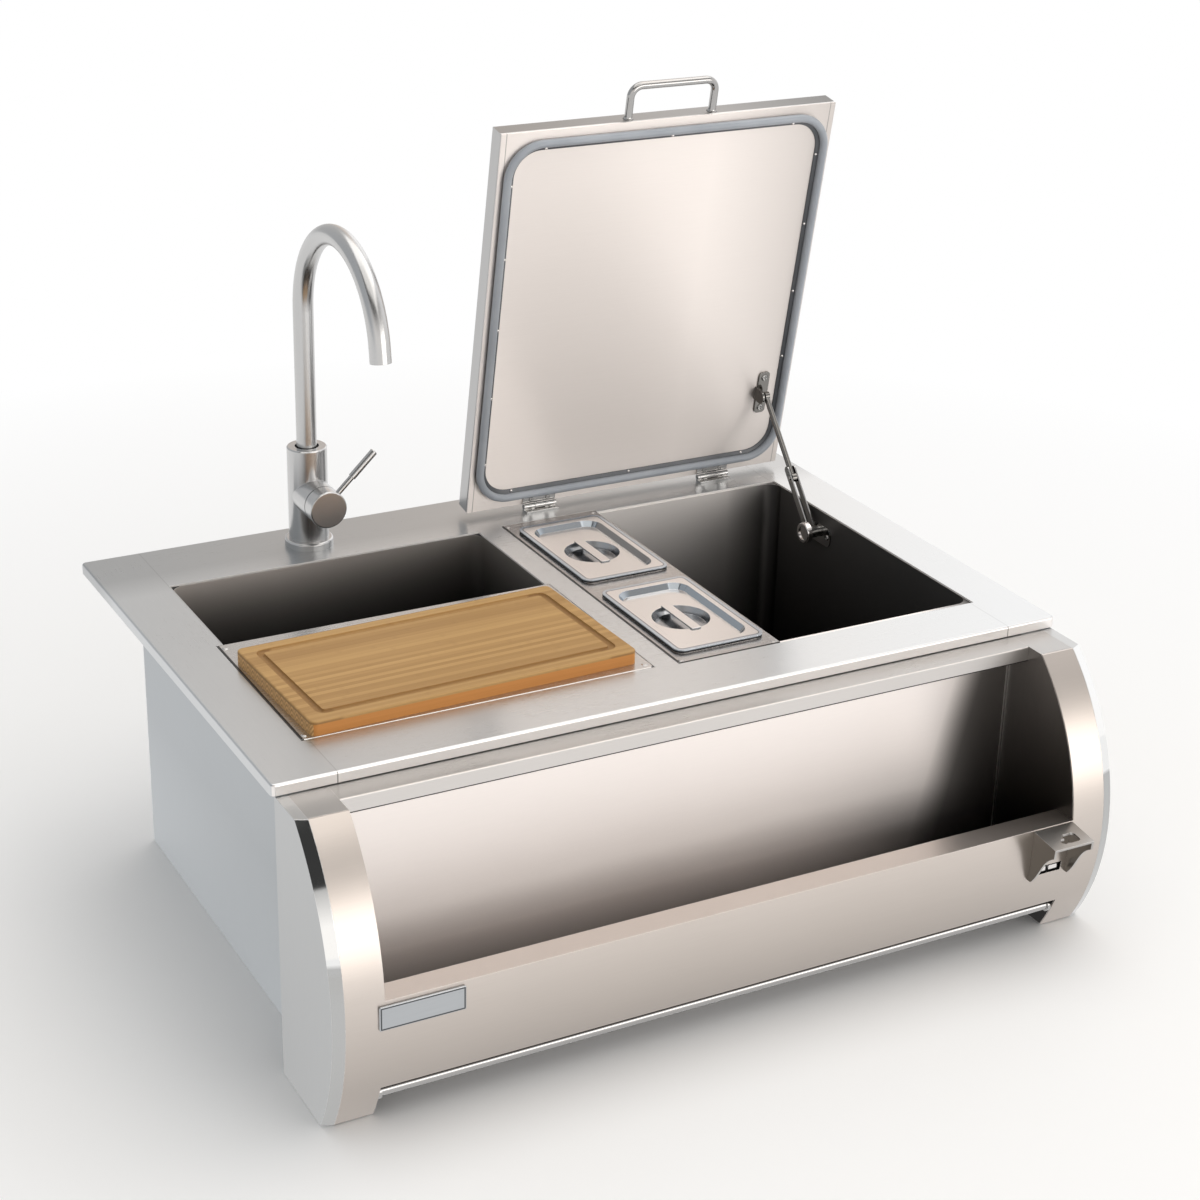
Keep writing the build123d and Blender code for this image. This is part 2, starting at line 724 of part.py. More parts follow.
# Tap body: column with a valve collar at the front and bores for the spout and the cap's stem
with BuildPart() as tap_body:
    with BuildSketch(Plane.XY.offset(deck_top + tap_ring_height)):
        with Locations((tap_x, tap_y)):
            Circle(tap_body_r)
    extrude(amount=tap_body_top - deck_top - tap_ring_height)
    chamfer(tap_body.faces().sort_by(Axis.Z)[-1].edges(), 1.2)
    with BuildSketch(Plane.XZ.offset(-tap_y)):
        with Locations((tap_x, valve_z)):
            Circle(collar_r)
    extrude(amount=collar_reach)
    with BuildSketch(Plane.XZ.offset(-tap_y + collar_reach - 20.0)):
        with Locations((tap_x, valve_z)):
            Circle(stem_r + running)
    extrude(amount=20.0, mode=Mode.SUBTRACT)
    with BuildSketch(Plane.XY.offset(tap_body_top)):
        with Locations((tap_x, tap_y)):
            Circle(spigot_r + running)
    extrude(amount=-spigot_depth - 0.5, mode=Mode.SUBTRACT)
    with BuildSketch(Plane.XY.offset(tap_body_top)):
        with Locations((tap_x, tap_y)):
            Circle(spout_r + seat_gap)
    extrude(amount=-seat_depth, mode=Mode.SUBTRACT)
tap_body.part.label = "tap_body"
export_step(tap_body.part, "parts/tap_body.step")

# Tap shank below the body, through ring and deck
with BuildPart() as tap_shank:
    with BuildSketch(Plane.XY.offset(deck_top + tap_ring_height)):
        with Locations((tap_x, tap_y)):
            Circle(tap_shank_r)
    extrude(amount=-70.0)
    with BuildSketch(Plane.XY.offset(deck_top + tap_ring_height - 70.0)):
        with Locations((tap_x - 8.0, tap_y), (tap_x + 8.0, tap_y)):
            Circle(5.0)
    extrude(amount=-32.0)
tap_shank.part.label = "tap_shank"
export_step(tap_shank.part, "parts/tap_shank.step")

# Tap washer and lock nut under the deck
with BuildPart() as tap_nut:
    with BuildSketch(Plane.XY.offset(deck_under)):
        with Locations((tap_x, tap_y)):
            Circle(24.0)
            Circle(tap_shank_r + running, mode=Mode.SUBTRACT)
    extrude(amount=-2.5)
    with BuildSketch(Plane.XY.offset(deck_under - 2.5)):
        with Locations((tap_x, tap_y)):
            RegularPolygon(24.0, 6)
            Circle(tap_shank_r + running, mode=Mode.SUBTRACT)
    extrude(amount=-9.0)
tap_nut.part.label = "tap_nut"
export_step(tap_nut.part, "parts/tap_nut.step")

# Spout: bent tube with a spigot that turns in the body
with BuildPart() as spout:
    with BuildLine(Plane.YZ.offset(tap_x)) as spout_line:
        Polyline((tap_y, spout_start), (tap_y, spout_straight_top))
        ThreePointArc(
            (tap_y, spout_straight_top),
            (tap_y - spout_bend, spout_straight_top + spout_bend),
            (spout_end_y, spout_end_z),
        )
        Polyline((spout_end_y, spout_end_z), (outlet_y, outlet_z))
    with BuildSketch(Plane.XY.offset(spout_start)):
        with Locations((tap_x, tap_y)):
            Circle(spout_r)
            Circle(spout_bore_r, mode=Mode.SUBTRACT)
    sweep(path=spout_line.line)
    with BuildSketch(Plane.XY.offset(tap_body_top - spigot_depth)):
        with Locations((tap_x, tap_y)):
            Circle(spigot_r)
            Circle(spigot_r - 2.5, mode=Mode.SUBTRACT)
    extrude(amount=spigot_depth + 4.0)
spout.part.label = "spout"
export_step(spout.part, "parts/spout.step")

# Aerator: ringed insert in the spout's end
outlet_plane = Plane(origin=(tap_x, outlet_y, outlet_z), x_dir=(1, 0, 0), z_dir=(0, arc_sin, -arc_cos))
with BuildPart() as aerator:
    with BuildSketch(outlet_plane.offset(0.8)):
        Circle(spout_bore_r - running)
    extrude(amount=aerator_depth)
    with BuildSketch(outlet_plane.offset(0.8)):
        Circle(spout_bore_r - 2.0)
    extrude(amount=1.5, mode=Mode.SUBTRACT)
aerator.part.label = "aerator"
export_step(aerator.part, "parts/aerator.step")

# Valve cap: hollow drum on a stem, slotted along its side for the lever
with BuildPart() as valve_cap:
    with BuildSketch(Plane.XZ.offset(-tap_y + cap_start)):
        with Locations((tap_x, valve_z)):
            Circle(collar_r)
    extrude(amount=cap_end - cap_start)
    fillet(valve_cap.faces().sort_by(Axis.Y)[0].edges(), 1.4)
    with BuildSketch(Plane.XZ.offset(-tap_y + cap_start + valve_wall)):
        with Locations((tap_x, valve_z)):
            Circle(collar_r - valve_wall)
    extrude(amount=cap_end - cap_start - 2 * valve_wall, mode=Mode.SUBTRACT)
    with BuildSketch(Plane.XZ.offset(-tap_y + collar_reach - 15.0)):
        with Locations((tap_x, valve_z)):
            Circle(stem_r)
    extrude(amount=cap_start + valve_wall - collar_reach + 15.0)
    slot_plane = Plane(
        origin=(tap_x, lever_y - 1.3, valve_z),
        x_dir=(0, 1, 0),
        z_dir=(math.cos(math.radians(lever_angle)), 0, math.sin(math.radians(lever_angle))),
    )
    with BuildSketch(slot_plane):
        RectangleRounded(12.6, lever_slot, 3.4)
    extrude(amount=collar_r + 1.0, mode=Mode.SUBTRACT)
valve_cap.part.label = "valve_cap"
export_step(valve_cap.part, "parts/valve_cap.step")

# Lever: slim rod with a thicker outer half
lever_plane = Plane(
    origin=(tap_x, lever_y, valve_z),
    x_dir=(0, 1, 0),
    z_dir=(math.cos(math.radians(lever_angle)), 0, math.sin(math.radians(lever_angle))),
)
with BuildPart() as lever:
    with BuildSketch(lever_plane.offset(2.0)):
        Circle(lever_r - lever_thin)
    extrude(amount=lever_length - 2.0)
    with BuildSketch(lever_plane.offset(lever_step)):
        Circle(lever_r)
    extrude(amount=lever_length - lever_step)
    chamfer(lever.edges().filter_by(GeomType.CIRCLE).sort_by(Axis.Z)[-1], 0.8)
lever.part.label = "lever"
export_step(lever.part, "parts/lever.step")

# Lid outer pan
with BuildPart() as lid_outer:
    with BuildSketch(lid_face.offset(-sheet)):
        with Locations((0, lid_middle)):
            Rectangle(lid_width, lid_length)
    extrude(amount=-(lid_depth - sheet))
    fillet(lid_outer.edges().filter_by(lid_face.offset(-lid_depth)), 3.0)
    with BuildSketch(lid_face.offset(-sheet)):
        with Locations((0, lid_middle)):
            Rectangle(lid_width - 2 * sheet, lid_length - 2 * sheet)
    extrude(amount=-(lid_depth - 2 * sheet), mode=Mode.SUBTRACT)
lid_outer.part.label = "lid_outer"
export_step(lid_outer.part, "parts/lid_outer.step")

# Lid inner panel
with BuildPart() as lid_inner:
    with BuildSketch(lid_face):
        with Locations((0, lid_middle)):
            Rectangle(lid_width, lid_length)
    extrude(amount=-sheet)
lid_inner.part.label = "lid_inner"
export_step(lid_inner.part, "parts/lid_inner.step")

# Lid insulation
with BuildPart() as lid_insulation:
    with BuildSketch(lid_face.offset(-sheet)):
        with Locations((0, lid_middle)):
            Rectangle(lid_width - 2 * sheet, lid_length - 2 * sheet)
    extrude(amount=-(lid_depth - 2 * sheet))
lid_insulation.part.label = "lid_insulation"
export_step(lid_insulation.part, "parts/lid_insulation.step")

# Gasket: bulb frame with a thin flange on its inner side
with BuildPart() as gasket:
    with BuildSketch(lid_face):
        with Locations((0, gasket_middle)):
            RectangleRounded(gasket_width, gasket_length, gasket_corner)
            RectangleRounded(
                gasket_width - 2 * gasket_bulb,
                gasket_length - 2 * gasket_bulb,
                gasket_corner - gasket_bulb,
                mode=Mode.SUBTRACT,
            )
    extrude(amount=gasket_height)
    fillet(gasket.edges().filter_by(lid_face.offset(gasket_height)), gasket_bulb_round)
    with BuildSketch(lid_face):
        with Locations((0, gasket_middle)):
            RectangleRounded(gasket_width - gasket_bulb, gasket_length - gasket_bulb, gasket_corner - gasket_bulb / 2)
            RectangleRounded(
                gasket_width - 2 * gasket_bulb - 2 * gasket_flange,
                gasket_length - 2 * gasket_bulb - 2 * gasket_flange,
                gasket_corner - gasket_bulb - gasket_flange,
                mode=Mode.SUBTRACT,
            )
    extrude(amount=sheet)
gasket.part.label = "gasket"
export_step(gasket.part, "parts/gasket.step")

# Gasket rivets along the flange's straight runs
rivet_r = 1.9
rivet_clear = 3.1
rivet_u = gasket_width / 2 - gasket_bulb - gasket_flange / 2
rivet_v = gasket_length / 2 - gasket_bulb - gasket_flange / 2
rivet_step_u = (gasket_width - 2 * gasket_corner - 2 * rivet_r - 2 * rivet_clear) / 2
rivet_step_v = (gasket_length - 2 * gasket_corner - 2 * rivet_r - 4 * rivet_clear) / 4
with BuildPart() as gasket_rivets:
    with BuildSketch(lid_face.offset(sheet)):
        with Locations((0, gasket_middle)):
            with GridLocations(2 * rivet_u, rivet_step_v, 2, 5):
                Circle(rivet_r)
            with GridLocations(rivet_step_u, 2 * rivet_v, 3, 2):
                Circle(rivet_r)
    extrude(amount=1.8, taper=30.0)
gasket_rivets.part.label = "gasket_rivets"
export_step(gasket_rivets.part, "parts/gasket_rivets.step")

# Lid handle: bent round bar on the front end of the lid
handle_plane = lid_face.offset(-handle_back)
handle_foot = lid_heel + lid_length
with BuildPart() as lid_handle:
    with BuildLine(handle_plane) as handle_line:
        FilletPolyline(
            (-handle_half, handle_foot),
            (-handle_half, handle_foot + handle_rise),
            (handle_half, handle_foot + handle_rise),
            (handle_half, handle_foot),
            radius=handle_bend,
        )
    with BuildSketch(Plane(handle_line.line @ 0, z_dir=handle_line.line % 0)):
        Circle(handle_r)
    sweep(path=handle_line.line)
lid_handle.part.label = "lid_handle"
export_step(lid_handle.part, "parts/lid_handle.step")

# Hinge leaves on the deck, two outer knuckles each
with BuildPart() as hinge_deck_leaves:
    with BuildSketch(Plane.XY.offset(deck_top)):
        with Locations((lid_x - hinge_spread, hinge_y), (lid_x + hinge_spread, hinge_y)):
            with Locations((0, -leaf_reach / 2 + 1.0)):
                Rectangle(hinge_width, leaf_reach + 2.0)
    extrude(amount=leaf)
    with BuildSketch(Plane.YZ.offset(lid_x - hinge_spread - hinge_width / 2)):
        with Locations((hinge_y, hinge_z)):
            Circle(knuckle_r)
        with Locations((hinge_y, deck_top + leaf)):
            Rectangle(4.0, 2.4, align=(Align.CENTER, Align.MIN))
        with Locations((hinge_y, hinge_z)):
            Circle(pin_r + running, mode=Mode.SUBTRACT)
    extrude(amount=hinge_width)
    with BuildSketch(Plane.YZ.offset(lid_x + hinge_spread - hinge_width / 2)):
        with Locations((hinge_y, hinge_z)):
            Circle(knuckle_r)
        with Locations((hinge_y, deck_top + leaf)):
            Rectangle(4.0, 2.4, align=(Align.CENTER, Align.MIN))
        with Locations((hinge_y, hinge_z)):
            Circle(pin_r + running, mode=Mode.SUBTRACT)
    extrude(amount=hinge_width)
    with BuildSketch(Plane.XY.offset(deck_top + leaf)):
        with Locations((lid_x - hinge_spread, hinge_y), (lid_x + hinge_spread, hinge_y)):
            Rectangle(knuckle_middle + 2 * knuckle_gap, 4 * knuckle_r)
    extrude(amount=4 * knuckle_r, mode=Mode.SUBTRACT)
hinge_deck_leaves.part.label = "hinge_deck_leaves"
export_step(hinge_deck_leaves.part, "parts/hinge_deck_leaves.step")

# Hinge leaves on the lid, one middle knuckle each
with BuildPart() as hinge_lid_leaves:
    with BuildSketch(lid_face):
        with Locations((-hinge_spread, leaf_start), (hinge_spread, leaf_start)):
            Rectangle(hinge_width, leaf_end - leaf_start, align=(Align.CENTER, Align.MIN))
        with Locations((-hinge_spread, lid_heel), (hinge_spread, lid_heel)):
            Rectangle(knuckle_middle, leaf_end - lid_heel, align=(Align.CENTER, Align.MIN))
    extrude(amount=leaf)
    with BuildSketch(Plane.YZ.offset(lid_x - hinge_spread - knuckle_middle / 2)):
        with Locations((hinge_y, hinge_z)):
            Circle(knuckle_r)
            Circle(pin_r + running, mode=Mode.SUBTRACT)
    extrude(amount=knuckle_middle)
    with BuildSketch(Plane.YZ.offset(lid_x + hinge_spread - knuckle_middle / 2)):
        with Locations((hinge_y, hinge_z)):
            Circle(knuckle_r)
            Circle(pin_r + running, mode=Mode.SUBTRACT)
    extrude(amount=knuckle_middle)
    with BuildSketch(Plane.YZ.offset(lid_x - hinge_spread - knuckle_middle / 2)):
        with Locations((hinge_y, hinge_z)):
            Circle(pin_r + running)
    extrude(amount=2 * hinge_spread + knuckle_middle, mode=Mode.SUBTRACT)
hinge_lid_leaves.part.label = "hinge_lid_leaves"
export_step(hinge_lid_leaves.part, "parts/hinge_lid_leaves.step")

# Hinge pins
with BuildPart() as hinge_pins:
    with BuildSketch(
        Plane.YZ.offset(lid_x - hinge_spread - hinge_width / 2 - 0.5),
        Plane.YZ.offset(lid_x + hinge_spread - hinge_width / 2 - 0.5),
    ):
        with Locations((hinge_y, hinge_z)):
            Circle(pin_r)
    extrude(amount=hinge_width + 1.0)
hinge_pins.part.label = "hinge_pins"
export_step(hinge_pins.part, "parts/hinge_pins.step")

# Hinge screws on the deck leaves
with BuildPart() as hinge_deck_screws:
    with BuildSketch(Plane.XY.offset(deck_top + leaf)):
        with Locations((lid_x - hinge_spread, hinge_y - 5.5), (lid_x + hinge_spread, hinge_y - 5.5)):
            with GridLocations(26.0, 1.0, 2, 1):
                Circle(2.6)
    extrude(amount=1.0, taper=30.0)
hinge_deck_screws.part.label = "hinge_deck_screws"
export_step(hinge_deck_screws.part, "parts/hinge_deck_screws.step")

# Hinge screws on the lid leaves
with BuildPart() as hinge_lid_screws:
    with BuildSketch(lid_face.offset(leaf)):
        with Locations((-hinge_spread, leaf_start + 4.2), (hinge_spread, leaf_start + 4.2)):
            with GridLocations(22.0, 1.0, 2, 1):
                Circle(3.0)
    extrude(amount=1.6, taper=25.0)
hinge_lid_screws.part.label = "hinge_lid_screws"
export_step(hinge_lid_screws.part, "parts/hinge_lid_screws.step")

# Stay bracket on the lid: plate, upright ear and pivot pin
bracket_u = stay_x - lid_x
with BuildPart() as stay_lid_bracket:
    with BuildSketch(lid_face):
        with Locations((bracket_u, stay_top_v)):
            RectangleRounded(15.0, 56.0, 5.0)
    extrude(amount=leaf)
    with BuildSketch(lid_face):
        with Locations((bracket_u - 8.2, stay_top_v)):
            Rectangle(2.4, 17.0)
    extrude(amount=stay_top_w + lid_gap)
    with BuildSketch(Plane.YZ.offset(stay_x - 9.4)):
        with Locations((stay_top.Y, stay_top.Z)):
            Circle(8.5)
    extrude(amount=2.4)
    with BuildSketch(Plane.YZ.offset(stay_x - 7.0)):
        with Locations((stay_top.Y, stay_top.Z)):
            Circle(stay_pin_r)
    extrude(amount=7.0 + rod_r + 0.6)
stay_lid_bracket.part.label = "stay_lid_bracket"
export_step(stay_lid_bracket.part, "parts/stay_lid_bracket.step")

# Stay rod: round bar with an eye at each end
with BuildPart() as stay_rod:
    with BuildSketch(Plane(origin=stay_top - stay_dir * 4.0, x_dir=(1, 0, 0), z_dir=stay_dir * -1)):
        Circle(rod_r)
    extrude(amount=stay_rod_length - 8.0)
    with BuildSketch(Plane.YZ.offset(stay_x - eye_half)):
        with Locations((stay_top.Y, stay_top.Z), (stay_elbow.Y, stay_elbow.Z)):
            Circle(eye_r)
    extrude(amount=2 * eye_half)
    with BuildSketch(Plane.YZ.offset(stay_x - rod_r)):
        with Locations((stay_top.Y, stay_top.Z)):
            Circle(stay_pin_r + running)
    extrude(amount=2 * rod_r, mode=Mode.SUBTRACT)
stay_rod.part.label = "stay_rod"
export_step(stay_rod.part, "parts/stay_rod.step")

# Stay arm: two prongs joined by a hub, with rivet heads at the elbow
arm_length = stay_arm + prong_tail + prong_height / 2
arm_middle = stay_pivot + stay_dir * (arm_length / 2 - prong_height / 2)
with BuildPart() as stay_arm_fork:
    with BuildSketch(Plane.YZ.offset(stay_x - fork_half), Plane.YZ.offset(stay_x + fork_half - prong)):
        with Locations((arm_middle.Y, arm_middle.Z)):
            SlotOverall(arm_length, prong_height, rotation=math.degrees(stay_angle))
    extrude(amount=prong)
    with BuildSketch(Plane.YZ.offset(stay_x - fork_half)):
        with Locations((stay_pivot.Y, stay_pivot.Z)):
            Circle(hub_r)
    extrude(amount=2 * fork_half)
    with BuildSketch(Plane.YZ.offset(stay_x - fork_half - 1.2), Plane.YZ.offset(stay_x + fork_half)):
        with Locations((stay_elbow.Y, stay_elbow.Z)):
            Circle(2.8)
    extrude(amount=1.2)
    with BuildSketch(Plane.YZ.offset(stay_x - fork_half + 2.0)):
        with Locations((stay_pivot.Y, stay_pivot.Z)):
            Circle(3.0 + running)
    extrude(amount=2 * fork_half, mode=Mode.SUBTRACT)
stay_arm_fork.part.label = "stay_arm_fork"
export_step(stay_arm_fork.part, "parts/stay_arm_fork.step")

# Friction disc on the outer side of the arm's hub
with BuildPart() as stay_disc:
    with BuildSketch(Plane.YZ.offset(stay_x - fork_half)):
        with Locations((stay_pivot.Y, stay_pivot.Z)):
            Circle(disc_r)
    extrude(amount=-7.0)
    fillet(stay_disc.faces().sort_by(Axis.X)[0].edges(), 2.0)
    with BuildSketch(Plane.YZ.offset(stay_x - fork_half - 7.0)):
        with Locations((stay_pivot.Y, stay_pivot.Z)):
            Circle(disc_r - 4.5)
    extrude(amount=1.6, mode=Mode.SUBTRACT)
stay_disc.part.label = "stay_disc"
export_step(stay_disc.part, "parts/stay_disc.step")

# Stay bracket on the bin wall: shaped plate, boss and pivot pin
wall_room = bin_right - stay_x - fork_half
with BuildPart() as stay_wall_bracket:
    with BuildSketch(Plane.YZ.offset(bin_right - 1.6)):
        with Locations((stay_pivot.Y - 5.0, stay_pivot.Z - 2.0)):
            RectangleRounded(46.0, 24.0, 8.0)
    extrude(amount=1.6)
    with BuildSketch(Plane.YZ.offset(stay_x + fork_half + 0.3)):
        with Locations((stay_pivot.Y, stay_pivot.Z)):
            Circle(hub_r - 0.5)
    extrude(amount=wall_room - 0.3)
    with BuildSketch(Plane.YZ.offset(stay_x - fork_half + 2.4)):
        with Locations((stay_pivot.Y, stay_pivot.Z)):
            Circle(3.0)
    extrude(amount=2 * fork_half)
stay_wall_bracket.part.label = "stay_wall_bracket"
export_step(stay_wall_bracket.part, "parts/stay_wall_bracket.step")

# Stay screws: two on the lid bracket
with BuildPart() as stay_lid_screws:
    with BuildSketch(lid_face.offset(leaf)):
        with Locations((bracket_u, stay_top_v - 20.5), (bracket_u, stay_top_v + 20.5)):
            Circle(4.2)
    extrude(amount=1.8, taper=30.0)
stay_lid_screws.part.label = "stay_lid_screws"
export_step(stay_lid_screws.part, "parts/stay_lid_screws.step")

# Stay screws: two on the wall bracket
with BuildPart() as stay_wall_screws:
    with BuildSketch(Plane.YZ.offset(bin_right - 1.6)):
        with Locations(
            (stay_pivot.Y - 22.0, stay_pivot.Z - 2.0), (stay_pivot.Y + 12.0, stay_pivot.Z - 2.0)
        ):
            Circle(3.4)
    extrude(amount=-1.6, taper=25.0)
stay_wall_screws.part.label = "stay_wall_screws"
export_step(stay_wall_screws.part, "parts/stay_wall_screws.step")

# Board tray: flat sheet flush with the deck, rear edge folded down, a small dome near each corner
with BuildPart() as board_tray:
    with BuildSketch(Plane.XY.offset(deck_top)):
        with Locations(((tray_left + tray_right) / 2, (tray_front + tray_rear) / 2)):
            Rectangle(tray_right - tray_left - 2 * drop_gap, tray_rear - tray_front - 2 * drop_gap)
        with Locations((tray_left + drop_gap, tray_front + drop_gap), (tray_right - drop_gap, tray_front + drop_gap)):
            Rectangle(drop_notch, drop_notch, mode=Mode.SUBTRACT)
    extrude(amount=-deck_sheet)
    fillet(board_tray.faces().sort_by(Axis.Z)[-1].edges().sort_by(Axis.Y)[0], drop_bend)
    with BuildSketch(Plane.XY.offset(deck_under)):
        with Locations((sink_x, tray_rear - drop_gap - 4.0)):
            Rectangle(sink_right - sink_left - 6.0, sheet)
    extrude(amount=-10.0)
    with BuildSketch(Plane.XY.offset(deck_top)):
        with Locations(((tray_left + tray_right) / 2, (tray_front + tray_rear) / 2)):
            with GridLocations(tray_right - tray_left - 14.0, tray_rear - tray_front - 20.0, 2, 2):
                Circle(3.6)
    extrude(amount=1.0, taper=45.0)
board_tray.part.label = "board_tray"
export_step(board_tray.part, "parts/board_tray.step")

# Cutting board with a juice groove along its border, lying a little askew
board_place = Location((board_x, board_y, deck_top), (0, 0, board_turn))
board_plane = Plane(board_place)
with BuildPart() as cutting_board:
    with BuildSketch(board_plane):
        RectangleRounded(board_width, board_depth, 7.0)
    extrude(amount=board_height)
    fillet(cutting_board.faces().sort_by(Axis.Z)[-1].edges(), 2.0)
    with BuildSketch(board_plane.offset(board_height)):
        RectangleRounded(board_width - 2 * groove_edge, board_depth - 2 * groove_edge, 11.0)
        RectangleRounded(
            board_width - 2 * groove_edge - 2 * groove_width,
            board_depth - 2 * groove_edge - 2 * groove_width,
            3.0,
            mode=Mode.SUBTRACT,
        )
    extrude(amount=-groove_depth, mode=Mode.SUBTRACT)
    groove_floor = deck_top + board_height - groove_depth
    fillet(cutting_board.edges().filter_by_position(Axis.Z, groove_floor - 0.1, groove_floor + 0.1), 2.4)
cutting_board.part.label = "cutting_board"
export_step(cutting_board.part, "parts/cutting_board.step")

# Condiment panel: flat sheet with two pan openings, right edge folded down, domes near the corners
with BuildPart() as condiment_panel:
    with BuildSketch(Plane.XY.offset(deck_top)):
        with Locations(((panel_left + panel_right) / 2, (bin_cut_front + panel_rear) / 2)):
            Rectangle(panel_right - panel_left - 2 * drop_gap, panel_rear - bin_cut_front - 2 * drop_gap)
        with Locations((panel_left + drop_gap, bin_cut_front + drop_gap)):
            Rectangle(drop_notch, drop_notch, mode=Mode.SUBTRACT)
        with Locations((pan_x, pan_y), (pan_x, pan_y - pan_pitch)):
            RectangleRounded(pan_body_width + 4.0, pan_body_length + 4.0, 14.0, mode=Mode.SUBTRACT)
    extrude(amount=-deck_sheet)
    fillet(condiment_panel.faces().sort_by(Axis.Z)[-1].edges().sort_by(Axis.Y)[0], drop_bend)
    with BuildSketch(Plane.XY.offset(deck_under)):
        with Locations((panel_right - drop_gap - sheet / 2, bin_y)):
            Rectangle(sheet, bin_rear - bin_front - 8.0)
    extrude(amount=-14.0)
    with BuildSketch(Plane.XY.offset(deck_top)):
        with Locations(
            (panel_left + 6.5, panel_rear - 6.5),
            (panel_right - 6.5, panel_rear - 6.5),
            (panel_left + 6.5, bin_cut_front + 6.5),
            (panel_right - 6.5, bin_cut_front + 6.5),
        ):
            Circle(3.6)
    extrude(amount=1.0, taper=45.0)
condiment_panel.part.label = "condiment_panel"
export_step(condiment_panel.part, "parts/condiment_panel.step")

# Rear pan: drawn ninth-size bowl with a flat rim
with BuildPart() as pan_rear:
    with BuildSketch(Plane.XY.offset(deck_top)):
        with Locations((pan_x, pan_y)):
            RectangleRounded(pan_body_width, pan_body_length, 12.0)
    extrude(amount=-pan_depth, taper=4.0)
    chamfer(pan_rear.faces().sort_by(Axis.Z)[0].edges(), 1.8)
    with BuildSketch(Plane.XY.offset(deck_top)):
        with Locations((pan_x, pan_y)):
            RectangleRounded(pan_body_width - 2 * pan_sheet, pan_body_length - 2 * pan_sheet, 10.8)
    extrude(amount=-(pan_depth - pan_sheet), taper=4.0, mode=Mode.SUBTRACT)
    with BuildSketch(Plane.XY.offset(deck_top)):
        with Locations((pan_x, pan_y)):
            RectangleRounded(pan_width, pan_length, 9.0)
            RectangleRounded(
                pan_body_width - 2 * pan_sheet, pan_body_length - 2 * pan_sheet, 10.8, mode=Mode.SUBTRACT
            )
    extrude(amount=pan_rim)
pan_rear.part.label = "pan_rear"
export_step(pan_rear.part, "parts/pan_rear.step")

# Front pan, the same bowl nearer the user
with BuildPart() as pan_front:
    with Locations((0, -pan_pitch, 0)):
        add(pan_rear.part)
pan_front.part.label = "pan_front"
export_step(pan_front.part, "parts/pan_front.step")

# Rear pan lid: rim with a skirt, dished middle and a round finger recess
with BuildPart() as pan_lid_rear:
    with BuildSketch(Plane.XY.offset(pan_lid_top)):
        with Locations((pan_x, pan_y)):
            RectangleRounded(pan_lid_width, pan_lid_length, 10.5)
    extrude(amount=-pan_sheet)
    with BuildSketch(Plane.XY.offset(pan_lid_top)):
        with Locations((pan_x, pan_y)):
            RectangleRounded(pan_lid_width, pan_lid_length, 10.5)
            RectangleRounded(
                pan_lid_width - 2 * pan_sheet, pan_lid_length - 2 * pan_sheet, 9.3, mode=Mode.SUBTRACT
            )
    extrude(amount=-(pan_lid_top - deck_top - pan_skirt_gap))
    with BuildSketch(Plane.XY.offset(pan_lid_top)):
        with Locations((pan_x, pan_y)):
            RectangleRounded(dish_width, dish_length, 20.0)
    extrude(amount=-dish_depth - pan_sheet, taper=dish_slope)
    with BuildSketch(Plane.XY.offset(pan_lid_top - dish_depth)):
        with Locations((pan_x, pan_y)):
            Circle(recess_r + pan_sheet)
    extrude(amount=-recess_depth - pan_sheet, taper=recess_slope)
    with BuildSketch(Plane.XY.offset(pan_lid_top)):
        with Locations((pan_x, pan_y)):
            RectangleRounded(dish_width - pan_sheet, dish_length - pan_sheet, 19.4)
    extrude(amount=-dish_depth, taper=dish_slope, mode=Mode.SUBTRACT)
    with BuildSketch(Plane.XY.offset(pan_lid_top - dish_depth)):
        with Locations((pan_x, pan_y)):
            Circle(recess_r)
    extrude(amount=-recess_depth, taper=recess_slope, mode=Mode.SUBTRACT)
pan_lid_rear.part.label = "pan_lid_rear"
export_step(pan_lid_rear.part, "parts/pan_lid_rear.step")

# Front pan lid, the same pressing nearer the user
with BuildPart() as pan_lid_front:
    with Locations((0, -pan_pitch, 0)):
        add(pan_lid_rear.part)
pan_lid_front.part.label = "pan_lid_front"
export_step(pan_lid_front.part, "parts/pan_lid_front.step")

# Grip bar across the rear lid's recess
with BuildPart() as pan_bar_rear:
    with BuildSketch(Plane.XY.offset(pan_lid_top - dish_depth)):
        with Locations((pan_x, pan_y)):
            RectangleRounded(grip_width, 2 * recess_r + 5.0, 2.0)
    extrude(amount=1.6)
    fillet(pan_bar_rear.faces().sort_by(Axis.Z)[-1].edges(), 0.7)
pan_bar_rear.part.label = "pan_bar_rear"
export_step(pan_bar_rear.part, "parts/pan_bar_rear.step")

# Grip bar across the front lid's recess
with BuildPart() as pan_bar_front:
    with Locations((0, -pan_pitch, 0)):
        add(pan_bar_rear.part)
pan_bar_front.part.label = "pan_bar_front"
export_step(pan_bar_front.part, "parts/pan_bar_front.step")
